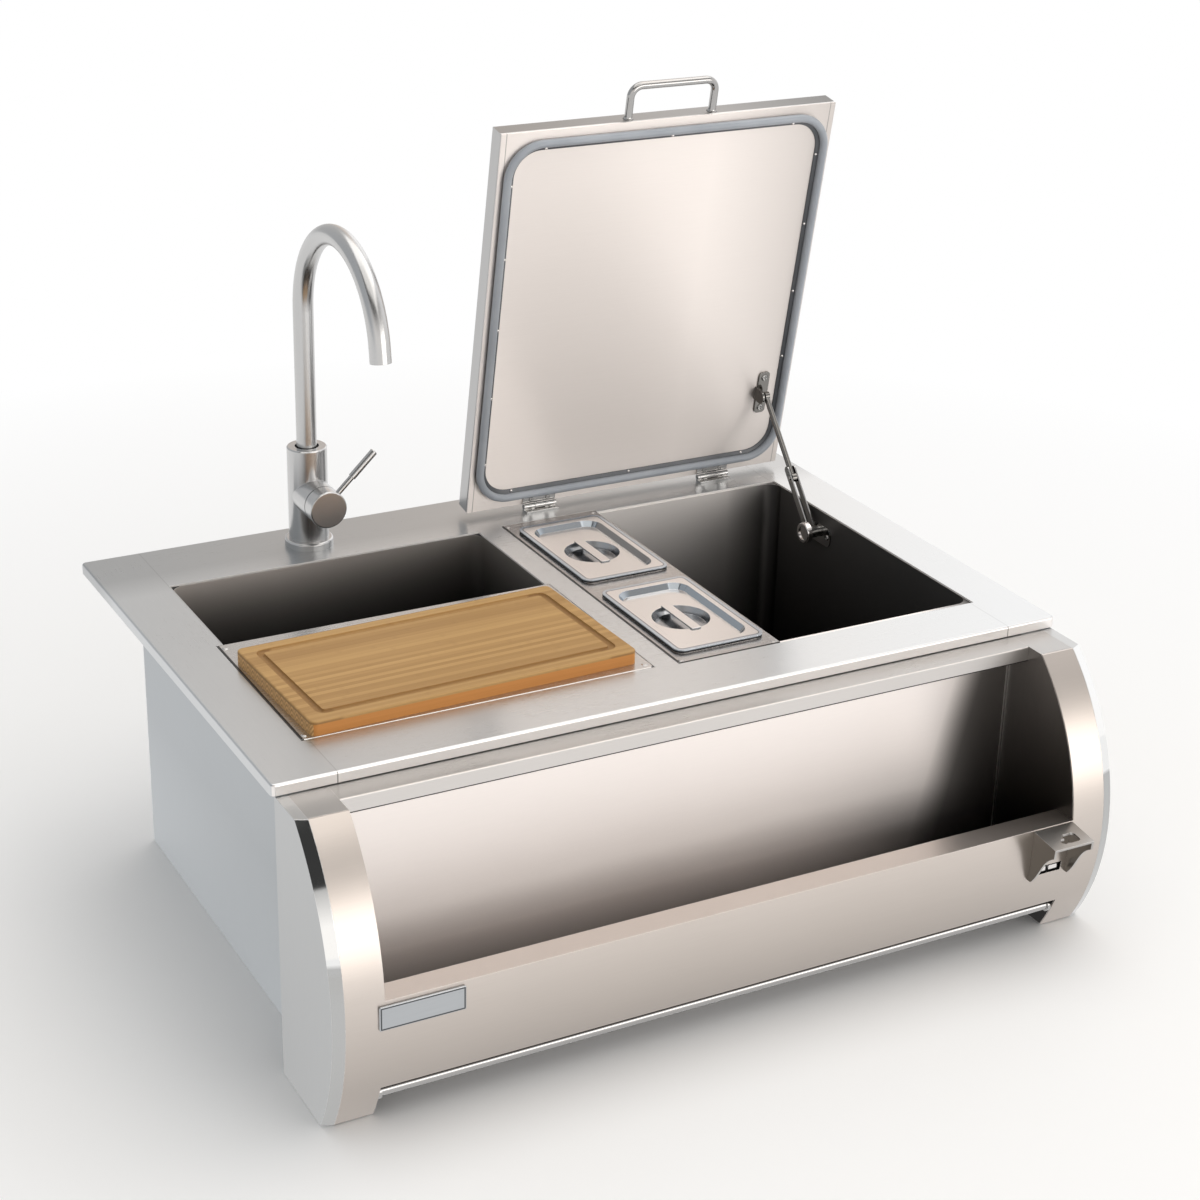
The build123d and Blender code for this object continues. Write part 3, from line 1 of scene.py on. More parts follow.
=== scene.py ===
import math
import bmesh
import bpy
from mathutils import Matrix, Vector


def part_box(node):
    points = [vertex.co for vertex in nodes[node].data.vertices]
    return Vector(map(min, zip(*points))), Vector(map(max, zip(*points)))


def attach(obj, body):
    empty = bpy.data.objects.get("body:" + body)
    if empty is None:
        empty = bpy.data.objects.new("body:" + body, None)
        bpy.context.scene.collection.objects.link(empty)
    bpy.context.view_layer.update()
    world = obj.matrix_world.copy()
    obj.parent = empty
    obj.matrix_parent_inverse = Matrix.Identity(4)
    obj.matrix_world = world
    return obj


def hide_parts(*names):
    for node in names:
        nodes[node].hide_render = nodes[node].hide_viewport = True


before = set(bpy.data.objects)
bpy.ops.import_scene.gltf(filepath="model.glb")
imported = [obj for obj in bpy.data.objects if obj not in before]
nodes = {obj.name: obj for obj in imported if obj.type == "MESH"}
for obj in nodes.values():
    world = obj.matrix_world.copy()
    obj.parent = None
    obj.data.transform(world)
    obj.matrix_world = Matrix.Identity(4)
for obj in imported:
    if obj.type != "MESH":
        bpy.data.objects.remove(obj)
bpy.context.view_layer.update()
print("frame loaded:", len(nodes), "nodes")


# node helpers

def addNode(tree, kind, **settings):
    node = tree.nodes.new("ShaderNode" + kind)
    for key, value in settings.items():
        setattr(node, key, value)
    return node


def feed(tree, socket, value):  # a link, a number, or a colour or vector given as three numbers
    if isinstance(value, tuple):
        socket.default_value = value + (1.0,) if socket.type == "RGBA" else value
    elif isinstance(value, (int, float)):
        socket.default_value = value
    elif value is not None:
        tree.links.new(value, socket)


def feedNamed(tree, node, given):
    for name, value in given.items():
        feed(tree, node.inputs[name], value)
    return node.outputs


def maths(tree, operation, first, second=None, clamp=False):
    node = addNode(tree, "Math", operation=operation, use_clamp=clamp)
    feed(tree, node.inputs[0], first)
    feed(tree, node.inputs[1], second)
    return node.outputs[0]


def product(tree, first, second):
    return maths(tree, "MULTIPLY", first, second)


def total(tree, first, second):
    return maths(tree, "ADD", first, second)


def offset(tree, value, middle):  # how far a value lies from a middle, either way
    return maths(tree, "ABSOLUTE", maths(tree, "SUBTRACT", value, middle))


def vectorMaths(tree, operation, first, second=None, result="Value"):
    node = addNode(tree, "VectorMath", operation=operation)
    feed(tree, node.inputs[0], first)
    feed(tree, node.inputs[1], second)
    return node.outputs[result]


def remap(tree, value, low, high, toLow=0.0, toHigh=1.0):
    given = {"Value": value, "From Min": low, "From Max": high, "To Min": toLow, "To Max": toHigh}
    return feedNamed(tree, addNode(tree, "MapRange"), given)["Result"]


def mixColours(tree, factor, first, second, mode="MIX"):
    node = addNode(tree, "Mix", data_type="RGBA", blend_type=mode)
    feed(tree, node.inputs[0], factor)  # the colour sockets of this node are 6 and 7
    feed(tree, node.inputs[6], first)
    feed(tree, node.inputs[7], second)
    return node.outputs[2]


def mixValues(tree, factor, first, second):
    node = addNode(tree, "Mix", data_type="FLOAT")
    feed(tree, node.inputs[0], factor)  # the value sockets of this node are 2 and 3
    feed(tree, node.inputs[2], first)
    feed(tree, node.inputs[3], second)
    return node.outputs[0]


def greyOf(tree, value):
    node = addNode(tree, "CombineColor")
    for channel in node.inputs:
        feed(tree, channel, value)
    return node.outputs[0]


def axesOf(tree, vector):
    return feedNamed(tree, addNode(tree, "SeparateXYZ"), {"Vector": vector})


def mapped(tree, vector, **changes):
    return feedNamed(tree, addNode(tree, "Mapping"), {"Vector": vector, **changes})["Vector"]


def noise(tree, vector, scale, detail, rough, bend=0.0):
    given = {"Vector": vector, "Scale": scale, "Detail": detail, "Roughness": rough, "Distortion": bend}
    return feedNamed(tree, addNode(tree, "TexNoise"), given)["Fac"]


def cells(tree, vector, scale):
    return feedNamed(tree, addNode(tree, "TexVoronoi"), {"Vector": vector, "Scale": scale})["Distance"]


def roughen(tree, shader, height, look, normal=None):  # bump on the shader's normal
    given = {"Strength": look["bump"], "Distance": look["bumpDistance"], "Height": height, "Normal": normal}
    feed(tree, shader.inputs["Normal"], feedNamed(tree, addNode(tree, "Bump"), given)["Normal"])


nodeSteps = {"column": 220, "row": 260}


def arrange(tree):  # lays the nodes out in columns, each to the left of what it feeds
    column = {node.name: 0 for node in tree.nodes}
    moved = True
    while moved:
        moved = False
        for link in tree.links:
            needed = column[link.to_node.name] + 1
            if column[link.from_node.name] < needed:
                column[link.from_node.name] = needed
                moved = True
    filled = {}
    for node in tree.nodes:
        place = column[node.name]
        filled[place] = filled.get(place, 0) + 1
        node.location = (-nodeSteps["column"] * place, -nodeSteps["row"] * filled[place])


def newGroup(name, inputs, outputs):
    tree = bpy.data.node_groups.new(name, "ShaderNodeTree")
    for label, kind in inputs.items():
        tree.interface.new_socket(name=label, in_out="INPUT", socket_type="NodeSocket" + kind)
    for label, kind in outputs.items():
        tree.interface.new_socket(name=label, in_out="OUTPUT", socket_type="NodeSocket" + kind)
    start = tree.nodes.new("NodeGroupInput")
    end = tree.nodes.new("NodeGroupOutput")
    return tree, start.outputs, end.inputs


def useGroup(tree, group, **given):
    return feedNamed(tree, addNode(tree, "Group", node_tree=group), given)


# shared effects

brushLook = {"broad": {"scale": 1.0, "detail": 2.0, "rough": 0.6}, "broadPart": 0.55,
             "fine": {"scale": 3.1, "detail": 3.0, "rough": 0.65}, "finePart": 0.45,
             "span": (0.32, 0.68)}


def makeBrushMarks():  # fine parallel scratches; the vector comes in already stretched along the brushing
    tree, given, out = newGroup("brushMarks", {"Vector": "Vector"}, {"Streak": "Float", "Height": "Float"})
    broad = noise(tree, given["Vector"], **brushLook["broad"])
    fine = noise(tree, given["Vector"], **brushLook["fine"])
    both = total(tree, product(tree, broad, brushLook["broadPart"]),
                 product(tree, fine, brushLook["finePart"]))
    feed(tree, out["Streak"], remap(tree, both, *brushLook["span"]))
    feed(tree, out["Height"], both)
    arrange(tree)
    return tree


handlingLook = {"cloud": {"detail": 3.0, "rough": 0.5, "bend": 0.4}, "cloudSpan": (0.3, 0.7),
                "smear": {"detail": 5.0, "rough": 0.7, "bend": 1.6}, "smearSpan": (0.45, 0.75),
                "smearFiner": 4.7}


def makeHandling():  # cloudy marks that wiping and hands leave on sheet metal
    tree, given, out = newGroup("handling", {"Vector": "Vector", "Scale": "Float"},
                                {"Cloud": "Float", "Smear": "Float"})
    cloud = noise(tree, given["Vector"], given["Scale"], **handlingLook["cloud"])
    finer = product(tree, given["Scale"], handlingLook["smearFiner"])
    smear = noise(tree, given["Vector"], finer, **handlingLook["smear"])
    feed(tree, out["Cloud"], remap(tree, cloud, *handlingLook["cloudSpan"]))
    feed(tree, out["Smear"], remap(tree, smear, *handlingLook["smearSpan"]))
    arrange(tree)
    return tree


edgeLook = {"samples": 4, "flat": 0.995, "sharp": 0.75}  # the last two are cosines


def makeSoftEdge():  # rounds the shading of sharp edges and finds them, for a painted highlight along them
    tree, given, out = newGroup("softEdge", {"Radius": "Float"}, {"Normal": "Vector", "PaintedHighlight": "Float"})
    bevel = addNode(tree, "Bevel", samples=edgeLook["samples"])
    feed(tree, bevel.inputs["Radius"], given["Radius"])
    plain = addNode(tree, "NewGeometry")
    agree = vectorMaths(tree, "DOT_PRODUCT", bevel.outputs["Normal"], plain.outputs["Normal"])
    feed(tree, out["Normal"], bevel.outputs["Normal"])
    feed(tree, out["PaintedHighlight"], remap(tree, agree, edgeLook["flat"], edgeLook["sharp"]))
    arrange(tree)
    return tree


brushMarks, handling, softEdge = makeBrushMarks(), makeHandling(), makeSoftEdge()
print("shared effects ready")


# steel

def startFinish(name):
    mat = bpy.data.materials.new(name)
    mat.use_nodes = True
    tree = mat.node_tree
    tree.nodes.clear()
    shader = addNode(tree, "BsdfPrincipled")
    feed(tree, addNode(tree, "OutputMaterial").inputs["Surface"], shader.outputs["BSDF"])
    return mat, tree, shader, addNode(tree, "TexCoord").outputs["Object"]


def brushed(tree, place, brush):
    marks = useGroup(tree, brushMarks, Vector=mapped(tree, place, Scale=brush))
    return marks["Streak"], marks["Height"]


def shadeFade(axis, near, far, least, power=1.0, lean=0.0):
    return {"axis": axis, "near": near, "far": far, "least": least, "power": power, "lean": lean}


def shadeFadeColour(tree, spot, colour, look):  # painted shade: darkens a sheet from near to far along one axis
    level = spot[look["axis"]]
    if look["lean"]:
        level = maths(tree, "SUBTRACT", level, product(tree, spot["Z"], look["lean"]))
    depth = remap(tree, level, look["far"], look["near"])
    shade = remap(tree, maths(tree, "POWER", depth, look["power"]), 0.0, 1.0, look["least"], 1.0)
    return mixColours(tree, 1.0, colour, greyOf(tree, shade), "MULTIPLY")


paintedLineLook = {"ink": (0.02, 0.019, 0.018), "core": 0.7, "cover": 0.95}


def paintedLine(axis, line, half, ink=paintedLineLook["ink"]):
    return {"axis": axis, "line": line, "half": half, "ink": ink}


def paintedLineColour(tree, spot, colour, look):  # painted line where a sheet meets its neighbour: a dark line is painted shadow in the gap, a light line is a painted highlight on the edge
    away = offset(tree, spot[look["axis"]], look["line"])
    onLine = remap(tree, away, look["half"] * paintedLineLook["core"], look["half"], paintedLineLook["cover"], 0.0)
    return mixColours(tree, onLine, colour, look["ink"])


rimLook = {"core": 0.6, "lineCover": 0.9, "bandCover": 0.85, "bandSoft": 0.0004}


def rimOn(member, axes, **look):  # places a rim by the box of a node
    low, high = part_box(member)
    ends = [(low["XYZ".index(axis)], high["XYZ".index(axis)]) for axis in axes]
    middle = [(first + last) / 2 for first, last in ends]
    half = [(last - first) / 2 for first, last in ends]
    return {"axes": axes, "middle": middle, "half": half, **look}


def rimColour(tree, spot, colour, look):  # line a little in from a rounded edge, and a band outside it
    past = []
    for axis, middle, half in zip(look["axes"], look["middle"], look["half"]):
        past.append(maths(tree, "SUBTRACT", offset(tree, spot[axis], middle), half - look["corner"]))
    squares = [maths(tree, "POWER", maths(tree, "MAXIMUM", reach, 0.0), 2.0) for reach in past]
    rounded = maths(tree, "SQRT", total(tree, *squares))
    inner = maths(tree, "MINIMUM", maths(tree, "MAXIMUM", *past), 0.0)
    toEdge = maths(tree, "SUBTRACT", look["corner"], total(tree, rounded, inner))
    inset, line = look["inset"], look["line"]
    if "band" in look:
        onBand = remap(tree, toEdge, inset - rimLook["bandSoft"], inset, rimLook["bandCover"], 0.0)
        colour = mixColours(tree, onBand, colour, look["band"])
    away = offset(tree, toEdge, inset)
    onLine = remap(tree, away, line * rimLook["core"], line, rimLook["lineCover"], 0.0)
    return mixColours(tree, onLine, colour, look["ink"])


def stretchGloss(tree, shader, look):  # highlights of brushed sheet spread across the brushing
    shader.inputs["Anisotropic"].default_value = look["stretch"]
    facing = addNode(tree, "NewGeometry").outputs["Normal"]
    run = min(look["brush"])
    along = tuple(1.0 if scale == run else look["tangentLean"] for scale in look["brush"])
    feed(tree, shader.inputs["Tangent"], vectorMaths(tree, "CROSS_PRODUCT", facing, along, "Vector"))


steelBase = {"metal": 1.0, "edge": 0.0006, "paintedHighlight": 0.5, "cloudScale": 4.0, "toneSpan": (0.26, 0.74),
             "streakPart": 0.62, "cloudPart": 0.38, "smearPart": 0.008, "bumpDistance": 0.0003,
             "tangentLean": 0.04, "seamEdge": (0.0003, 0.0008), "seamInk": (0.12, 0.115, 0.11)}


def steelFinish(name, changes):
    look = {**steelBase, **changes}
    mat, tree, shader, place = startFinish(name)
    shader.inputs["Metallic"].default_value = look["metal"]
    spot = axesOf(tree, place)
    streak, height = brushed(tree, place, look["brush"])
    hands = useGroup(tree, handling, Vector=place, Scale=look["cloudScale"])
    edge = useGroup(tree, softEdge, Radius=look["edge"])
    if "seams" in look:  # sheets meet along two lines
        left, right = look["seams"]
        halfSpan = (right - left) / 2
        fromMiddle = offset(tree, spot["X"], (left + right) / 2)
        seam = remap(tree, offset(tree, fromMiddle, halfSpan), *look["seamEdge"], 1.0, 0.0)
    if "sideBrush" in look:  # past the seams the brushing runs the other way
        outside = maths(tree, "GREATER_THAN", fromMiddle, halfSpan)
        sideStreak, sideHeight = brushed(tree, place, look["sideBrush"])
        streak = mixValues(tree, outside, streak, sideStreak)
        height = mixValues(tree, outside, height, sideHeight)
    tone = total(tree, product(tree, streak, look["streakPart"]),
                 product(tree, hands["Cloud"], look["cloudPart"]))
    tone = remap(tree, tone, 0.0, 1.0, *look["toneSpan"])
    colour = mixColours(tree, tone, look["dark"], look["light"])
    if "seams" in look:
        colour = mixColours(tree, product(tree, seam, look["seamDepth"]), colour, look["seamInk"])
    # painted shade laid over the sheet's colour
    for row in look.get("shadeFades", ()):
        colour = shadeFadeColour(tree, spot, colour, row)
    # painted shadow lines in gaps, and painted highlight lines
    for row in look.get("joints", ()):
        colour = paintedLineColour(tree, spot, colour, row)
    # on the pan lids the rim band is painted reflection and its line painted shade; on the front plate the
    # rim is a printed border
    if "rim" in look:
        colour = rimColour(tree, spot, colour, look["rim"])
    # painted highlight: sharp edges are mixed towards the bright colour
    highlighted = product(tree, edge["PaintedHighlight"], look["paintedHighlight"])
    feed(tree, shader.inputs["Base Color"], mixColours(tree, highlighted, colour, look["bright"]))
    rough = remap(tree, tone, 0.0, 1.0, *look["rough"])
    rough = total(tree, rough, product(tree, hands["Smear"], look["smearPart"]))
    feed(tree, shader.inputs["Roughness"], rough)
    if "stretch" in look:
        stretchGloss(tree, shader, look)
    roughen(tree, shader, height, look, edge["Normal"])
    arrange(tree)
    return mat


brushRun, brushCross = 22.0, 1300.0  # noise scale along and across the brushing
alongX = (brushRun, brushCross, brushCross)
alongY = (brushCross, brushRun, brushCross)
alongZ = (brushCross, brushCross, brushRun)
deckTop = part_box("deck_panel")[1][2]
panelLow, trayLow, apronLow = (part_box(name)[0] for name in ("condiment_panel", "board_tray", "apron"))
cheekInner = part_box("right_cheek")[0][0]
deckSeams, lidSeams = (-0.389, 0.393), (0.0015, 0.4185)

steelLooks = {
    # painted shade: the deck darkens towards its rear edge
    "deckSteel": {
        "dark": (0.575, 0.585, 0.59), "light": (0.67, 0.68, 0.685), "bright": (0.9, 0.9, 0.9),
        "rough": (0.25, 0.31), "brush": alongX, "bump": 0.008, "stretch": 0.6, "seams": deckSeams,
        "seamDepth": 0.2, "sideBrush": alongY, "shadeFades": [shadeFade("Y", 0.215, 0.27, 0.76)]},
    # painted light: a brighter, warmer copy of the deck steel for the deck's front-facing lip
    "lipSteel": {
        "dark": (0.84, 0.80, 0.77), "light": (0.92, 0.885, 0.855), "bright": (0.95, 0.93, 0.91),
        "rough": (0.28, 0.34), "brush": alongX, "bump": 0.02, "stretch": 0.6, "seams": deckSeams,
        "seamDepth": 0.8},
    # painted shadow: a dark line where the trough meets the apron's lip
    "apronLip": {
        "dark": (0.61, 0.58, 0.555), "light": (0.68, 0.65, 0.625), "bright": (0.95, 0.93, 0.91),
        "rough": (0.28, 0.34), "brush": alongX, "bump": 0.02, "stretch": 0.6,
        "joints": [paintedLine("Z", apronLow[2] + 0.0004, 0.0009)]},
    # painted shadow: a dark line in the gap at the tray's left edge
    "traySteel": {
        "dark": (0.54, 0.525, 0.51), "light": (0.62, 0.605, 0.59), "bright": (0.96, 0.95, 0.94),
        "rough": (0.24, 0.30), "brush": alongX, "bump": 0.02, "paintedHighlight": 0.35, "stretch": 0.6,
        "joints": [paintedLine("X", trayLow[0] + 0.0006, 0.0017)]},
    # painted shadow: dark lines in the gaps at the panel's left and front edges
    "panelSteel": {
        "dark": (0.44, 0.42, 0.405), "light": (0.52, 0.495, 0.48), "bright": (0.96, 0.95, 0.94),
        "rough": (0.24, 0.30), "brush": alongX, "bump": 0.02, "paintedHighlight": 0.35, "stretch": 0.6,
        "joints": [paintedLine("X", panelLow[0] + 0.0006, 0.0019), paintedLine("Y", panelLow[1] + 0.0006, 0.0016)]},
    # painted shade: the jacket darkens towards the top
    "jacketSteel": {
        "dark": (0.485, 0.51, 0.53), "light": (0.58, 0.605, 0.625), "bright": (0.8, 0.81, 0.82),
        "rough": (0.34, 0.42), "brush": alongZ, "bump": 0.04, "shadeFades": [shadeFade("Z", 0.02, 0.17, 0.82)]},
    # painted shade: the bowl darkens with depth and towards its right wall
    "sinkSteel": {
        "dark": (0.80, 0.735, 0.68), "light": (0.90, 0.835, 0.78), "bright": (0.95, 0.93, 0.9),
        "rough": (0.36, 0.46), "brush": alongX, "bump": 0.05, "metal": 0.7,
        "shadeFades": [shadeFade("Z", deckTop, 0.17, 0.04, power=2.7), shadeFade("X", -0.26, -0.03, 0.45)]},
    # painted shade: the bin darkens with depth and towards its right wall
    "binSteel": {
        "dark": (0.84, 0.80, 0.77), "light": (0.93, 0.895, 0.865), "bright": (0.94, 0.92, 0.9),
        "rough": (0.40, 0.50), "brush": alongX, "bump": 0.03, "stretch": 0.6,
        "shadeFades": [shadeFade("Z", deckTop, 0.09, 0.10, power=0.8), shadeFade("X", 0.33, 0.392, 0.14, power=0.9)]},
    # painted shade: the front skin darkens towards the bottom
    "skinSteel": {
        "dark": (0.55, 0.495, 0.45), "light": (0.625, 0.565, 0.52), "bright": (0.9, 0.88, 0.86),
        "rough": (0.27, 0.33), "brush": alongX, "bump": 0.02, "stretch": 0.6,
        "shadeFades": [shadeFade("Z", 0.135, 0.05, 0.84)]},
    # painted light: a brighter copy of the skin steel for its inner faces, which the trough reflects
    "skinInside": {
        "dark": (0.86, 0.82, 0.79), "light": (0.94, 0.90, 0.87), "bright": (0.95, 0.93, 0.91),
        "rough": (0.45, 0.55), "brush": alongX, "bump": 0.02},
    "apronTop": {
        "dark": (0.38, 0.37, 0.36), "light": (0.45, 0.44, 0.43), "bright": (0.85, 0.84, 0.82),
        "rough": (0.25, 0.31), "brush": alongX, "bump": 0.02, "stretch": 0.6},
    "lipTop": {
        "dark": (0.54, 0.489, 0.454), "light": (0.621, 0.569, 0.535), "bright": (0.88, 0.86, 0.84),
        "rough": (0.28, 0.34), "brush": alongX, "bump": 0.02, "stretch": 0.6},
    # painted shade: the trough darkens towards the bottom and the right end; the light line by the right
    # cheek is a painted highlight
    "troughSteel": {
        "dark": (0.88, 0.82, 0.785), "light": (0.95, 0.89, 0.855), "bright": (0.95, 0.92, 0.89),
        "rough": (0.36, 0.42), "brush": alongX, "bump": 0.02, "stretch": 0.85,
        "shadeFades": [shadeFade("Z", 0.112, 0.062, 0.27, power=0.9), shadeFade("X", 0.262, 0.300, 0.38, lean=0.24)],
        "joints": [paintedLine("X", cheekInner - 0.0016, 0.0013, (0.98, 0.96, 0.94))]},
    # painted shade: a dark copy of the steel for the cheeks, darker again towards the bottom
    "cheekSteel": {
        "dark": (0.15, 0.14, 0.13), "light": (0.20, 0.188, 0.176), "bright": (0.85, 0.83, 0.81),
        "rough": (0.28, 0.34), "brush": alongZ, "bump": 0.02, "paintedHighlight": 0.8, "stretch": 0.6,
        "shadeFades": [shadeFade("Z", 0.30, 0.10, 0.12, power=0.8)]},
    "endSteel": {
        "dark": (0.45, 0.455, 0.455), "light": (0.53, 0.535, 0.535), "bright": (0.88, 0.88, 0.87),
        "rough": (0.28, 0.35), "brush": alongZ, "bump": 0.04},
    # painted shade: the lid's inner face darkens towards its right end
    "lidInnerSteel": {
        "dark": (0.83, 0.77, 0.73), "light": (0.905, 0.845, 0.805), "bright": (0.96, 0.94, 0.92),
        "rough": (0.44, 0.52), "brush": alongX, "bump": 0.02, "stretch": 0.85, "seams": lidSeams,
        "seamDepth": 0.5, "shadeFades": [shadeFade("X", 0.27, 0.43, 0.72)]},
    # painted shade: a darker copy of the lid steel for its top face, darker again towards the right end
    "lidTopSteel": {
        "dark": (0.30, 0.295, 0.29), "light": (0.36, 0.355, 0.35), "bright": (0.85, 0.84, 0.83),
        "rough": (0.27, 0.33), "brush": alongX, "bump": 0.02, "stretch": 0.5,
        "shadeFades": [shadeFade("X", 0.28, 0.43, 0.55)]},
    "lidSteel": {
        "dark": (0.46, 0.455, 0.45), "light": (0.54, 0.535, 0.53), "bright": (0.85, 0.84, 0.83),
        "rough": (0.27, 0.33), "brush": alongX, "bump": 0.02, "stretch": 0.5},
    "tapSteel": {
        "dark": (0.52, 0.515, 0.51), "light": (0.60, 0.595, 0.59), "bright": (0.85, 0.85, 0.845),
        "rough": (0.215, 0.25), "brush": alongX, "bump": 0.01, "stretch": 0.6},
    "polishedSteel": {
        "dark": (0.74, 0.71, 0.69), "light": (0.81, 0.78, 0.76), "bright": (0.95, 0.95, 0.95),
        "rough": (0.14, 0.20), "brush": alongY, "bump": 0.01},
    # painted reflection: a blue-grey copy of the polished steel for the sloped faces of the pan lids
    "slopeSteel": {
        "dark": (0.36, 0.39, 0.42), "light": (0.43, 0.465, 0.50), "bright": (0.9, 0.92, 0.94),
        "rough": (0.10, 0.16), "brush": alongY, "bump": 0.01},
    # painted shade: a darker copy of the polished steel for the recess in each pan lid
    "recessSteel": {
        "dark": (0.36, 0.365, 0.375), "light": (0.44, 0.445, 0.455), "bright": (0.85, 0.86, 0.87),
        "rough": (0.14, 0.22), "brush": alongY, "bump": 0.01},
    # painted shade: nearly black steel for faces in gaps where shade falls
    "paintedGapShade": {
        "dark": (0.03, 0.03, 0.03), "light": (0.05, 0.05, 0.05), "bright": (0.3, 0.3, 0.3),
        "rough": (0.40, 0.50), "brush": alongX, "bump": 0.02, "paintedHighlight": 0.2},
    "barSteel": {
        "dark": (0.40, 0.39, 0.38), "light": (0.47, 0.46, 0.45), "bright": (0.9, 0.9, 0.89),
        "rough": (0.10, 0.15), "brush": alongX, "bump": 0.005},
    # painted shade: the polished border is darker below a level line near its foot
    "mirrorSteel": {
        "dark": (0.83, 0.83, 0.82), "light": (0.89, 0.89, 0.88), "bright": (0.95, 0.95, 0.94),
        "rough": (0.04, 0.08), "brush": alongX, "bump": 0.01, "shadeFades": [shadeFade("Z", 0.194, 0.190, 0.56)]},
    "hardwareSteel": {
        "dark": (0.32, 0.315, 0.305), "light": (0.44, 0.43, 0.42), "bright": (0.9, 0.9, 0.89),
        "rough": (0.12, 0.20), "brush": alongX, "bump": 0.02, "edge": 0.0003, "paintedHighlight": 0.8},
    "staySteel": {
        "dark": (0.42, 0.415, 0.405), "light": (0.52, 0.515, 0.505), "bright": (0.9, 0.9, 0.89),
        "rough": (0.10, 0.16), "brush": alongZ, "bump": 0.02, "edge": 0.0004, "paintedHighlight": 0.7},
    # painted shade: a dark copy of the steel for the side faces of the drop-in sheets and the pan bars
    "paintedShadeSide": {
        "dark": (0.24, 0.25, 0.26), "light": (0.31, 0.32, 0.335), "bright": (0.8, 0.8, 0.8),
        "rough": (0.20, 0.26), "brush": alongX, "bump": 0.02},
    "hingeSteel": {
        "dark": (0.53, 0.52, 0.51), "light": (0.66, 0.65, 0.635), "bright": (0.95, 0.94, 0.93),
        "rough": (0.12, 0.18), "brush": alongX, "bump": 0.02, "edge": 0.0004, "paintedHighlight": 0.8},
    "rodSteel": {
        "dark": (0.19, 0.18, 0.168), "light": (0.27, 0.26, 0.245), "bright": (0.85, 0.84, 0.82),
        "rough": (0.10, 0.16), "brush": alongZ, "bump": 0.02, "edge": 0.0004, "paintedHighlight": 0.7},
    # painted highlight: a bright, barely metallic copy for the front and left walls of the deck's cut-outs
    "cutEdgeHighlight": {
        "dark": (0.76, 0.735, 0.71), "light": (0.84, 0.815, 0.79), "bright": (0.9, 0.89, 0.87),
        "rough": (0.45, 0.55), "brush": alongX, "bump": 0.01, "metal": 0.1},
    # painted highlight and shadow: a blue-grey band at the top of each lid's skirt, nearly black below it
    "rimSteel": {
        "dark": (0.58, 0.64, 0.70), "light": (0.66, 0.72, 0.78), "bright": (0.9, 0.92, 0.94),
        "rough": (0.20, 0.26), "brush": alongX, "bump": 0.01, "paintedHighlight": 0.0,
        "shadeFades": [shadeFade("Z", 0.3262, 0.3252, 0.04)]},
    "openerSteel": {
        "dark": (0.42, 0.405, 0.385), "light": (0.50, 0.48, 0.46), "bright": (0.85, 0.83, 0.81),
        "rough": (0.26, 0.32), "brush": alongY, "bump": 0.02},
    # painted shade: a dark copy of the opener steel for its side faces
    "openerSide": {
        "dark": (0.17, 0.158, 0.14), "light": (0.24, 0.225, 0.205), "bright": (0.75, 0.73, 0.71),
        "rough": (0.26, 0.32), "brush": alongY, "bump": 0.02},
    "fittingMetal": {
        "dark": (0.46, 0.455, 0.44), "light": (0.58, 0.57, 0.555), "bright": (0.8, 0.8, 0.79),
        "rough": (0.24, 0.36), "brush": alongZ, "bump": 0.06},
    "plateMetal": {
        "dark": (0.42, 0.435, 0.45), "light": (0.52, 0.535, 0.55), "bright": (0.9, 0.9, 0.9),
        "rough": (0.24, 0.32), "brush": alongX, "bump": 0.04,
        "rim": rimOn("front_plate", "XZ", corner=0.0018, inset=0.0017, line=0.0009,
                     ink=(0.05, 0.052, 0.055))},
    "darkBacking": {
        "dark": (0.012, 0.012, 0.012), "light": (0.03, 0.029, 0.028), "bright": (0.2, 0.2, 0.2),
        "rough": (0.4, 0.55), "brush": alongX, "bump": 0.05},
}
panLids = {"pan_lid_rear": "rearLidSteel", "pan_lid_front": "frontLidSteel"}
panRim = {"corner": 0.010, "inset": 0.0042, "line": 0.0008, "ink": (0.16, 0.165, 0.175),
          "band": (0.47, 0.53, 0.60)}
for member, name in panLids.items():  # on each lid a blue-grey band along the edge is a painted reflection of the rolled rim, and the dark line inside it is painted shade
    steelLooks[name] = {**steelLooks["polishedSteel"], "rim": rimOn(member, "XY", **panRim)}
finish = {name: steelFinish(name, look) for name, look in steelLooks.items()}
print("steel finishes:", len(finish))


# board, rubber and foam

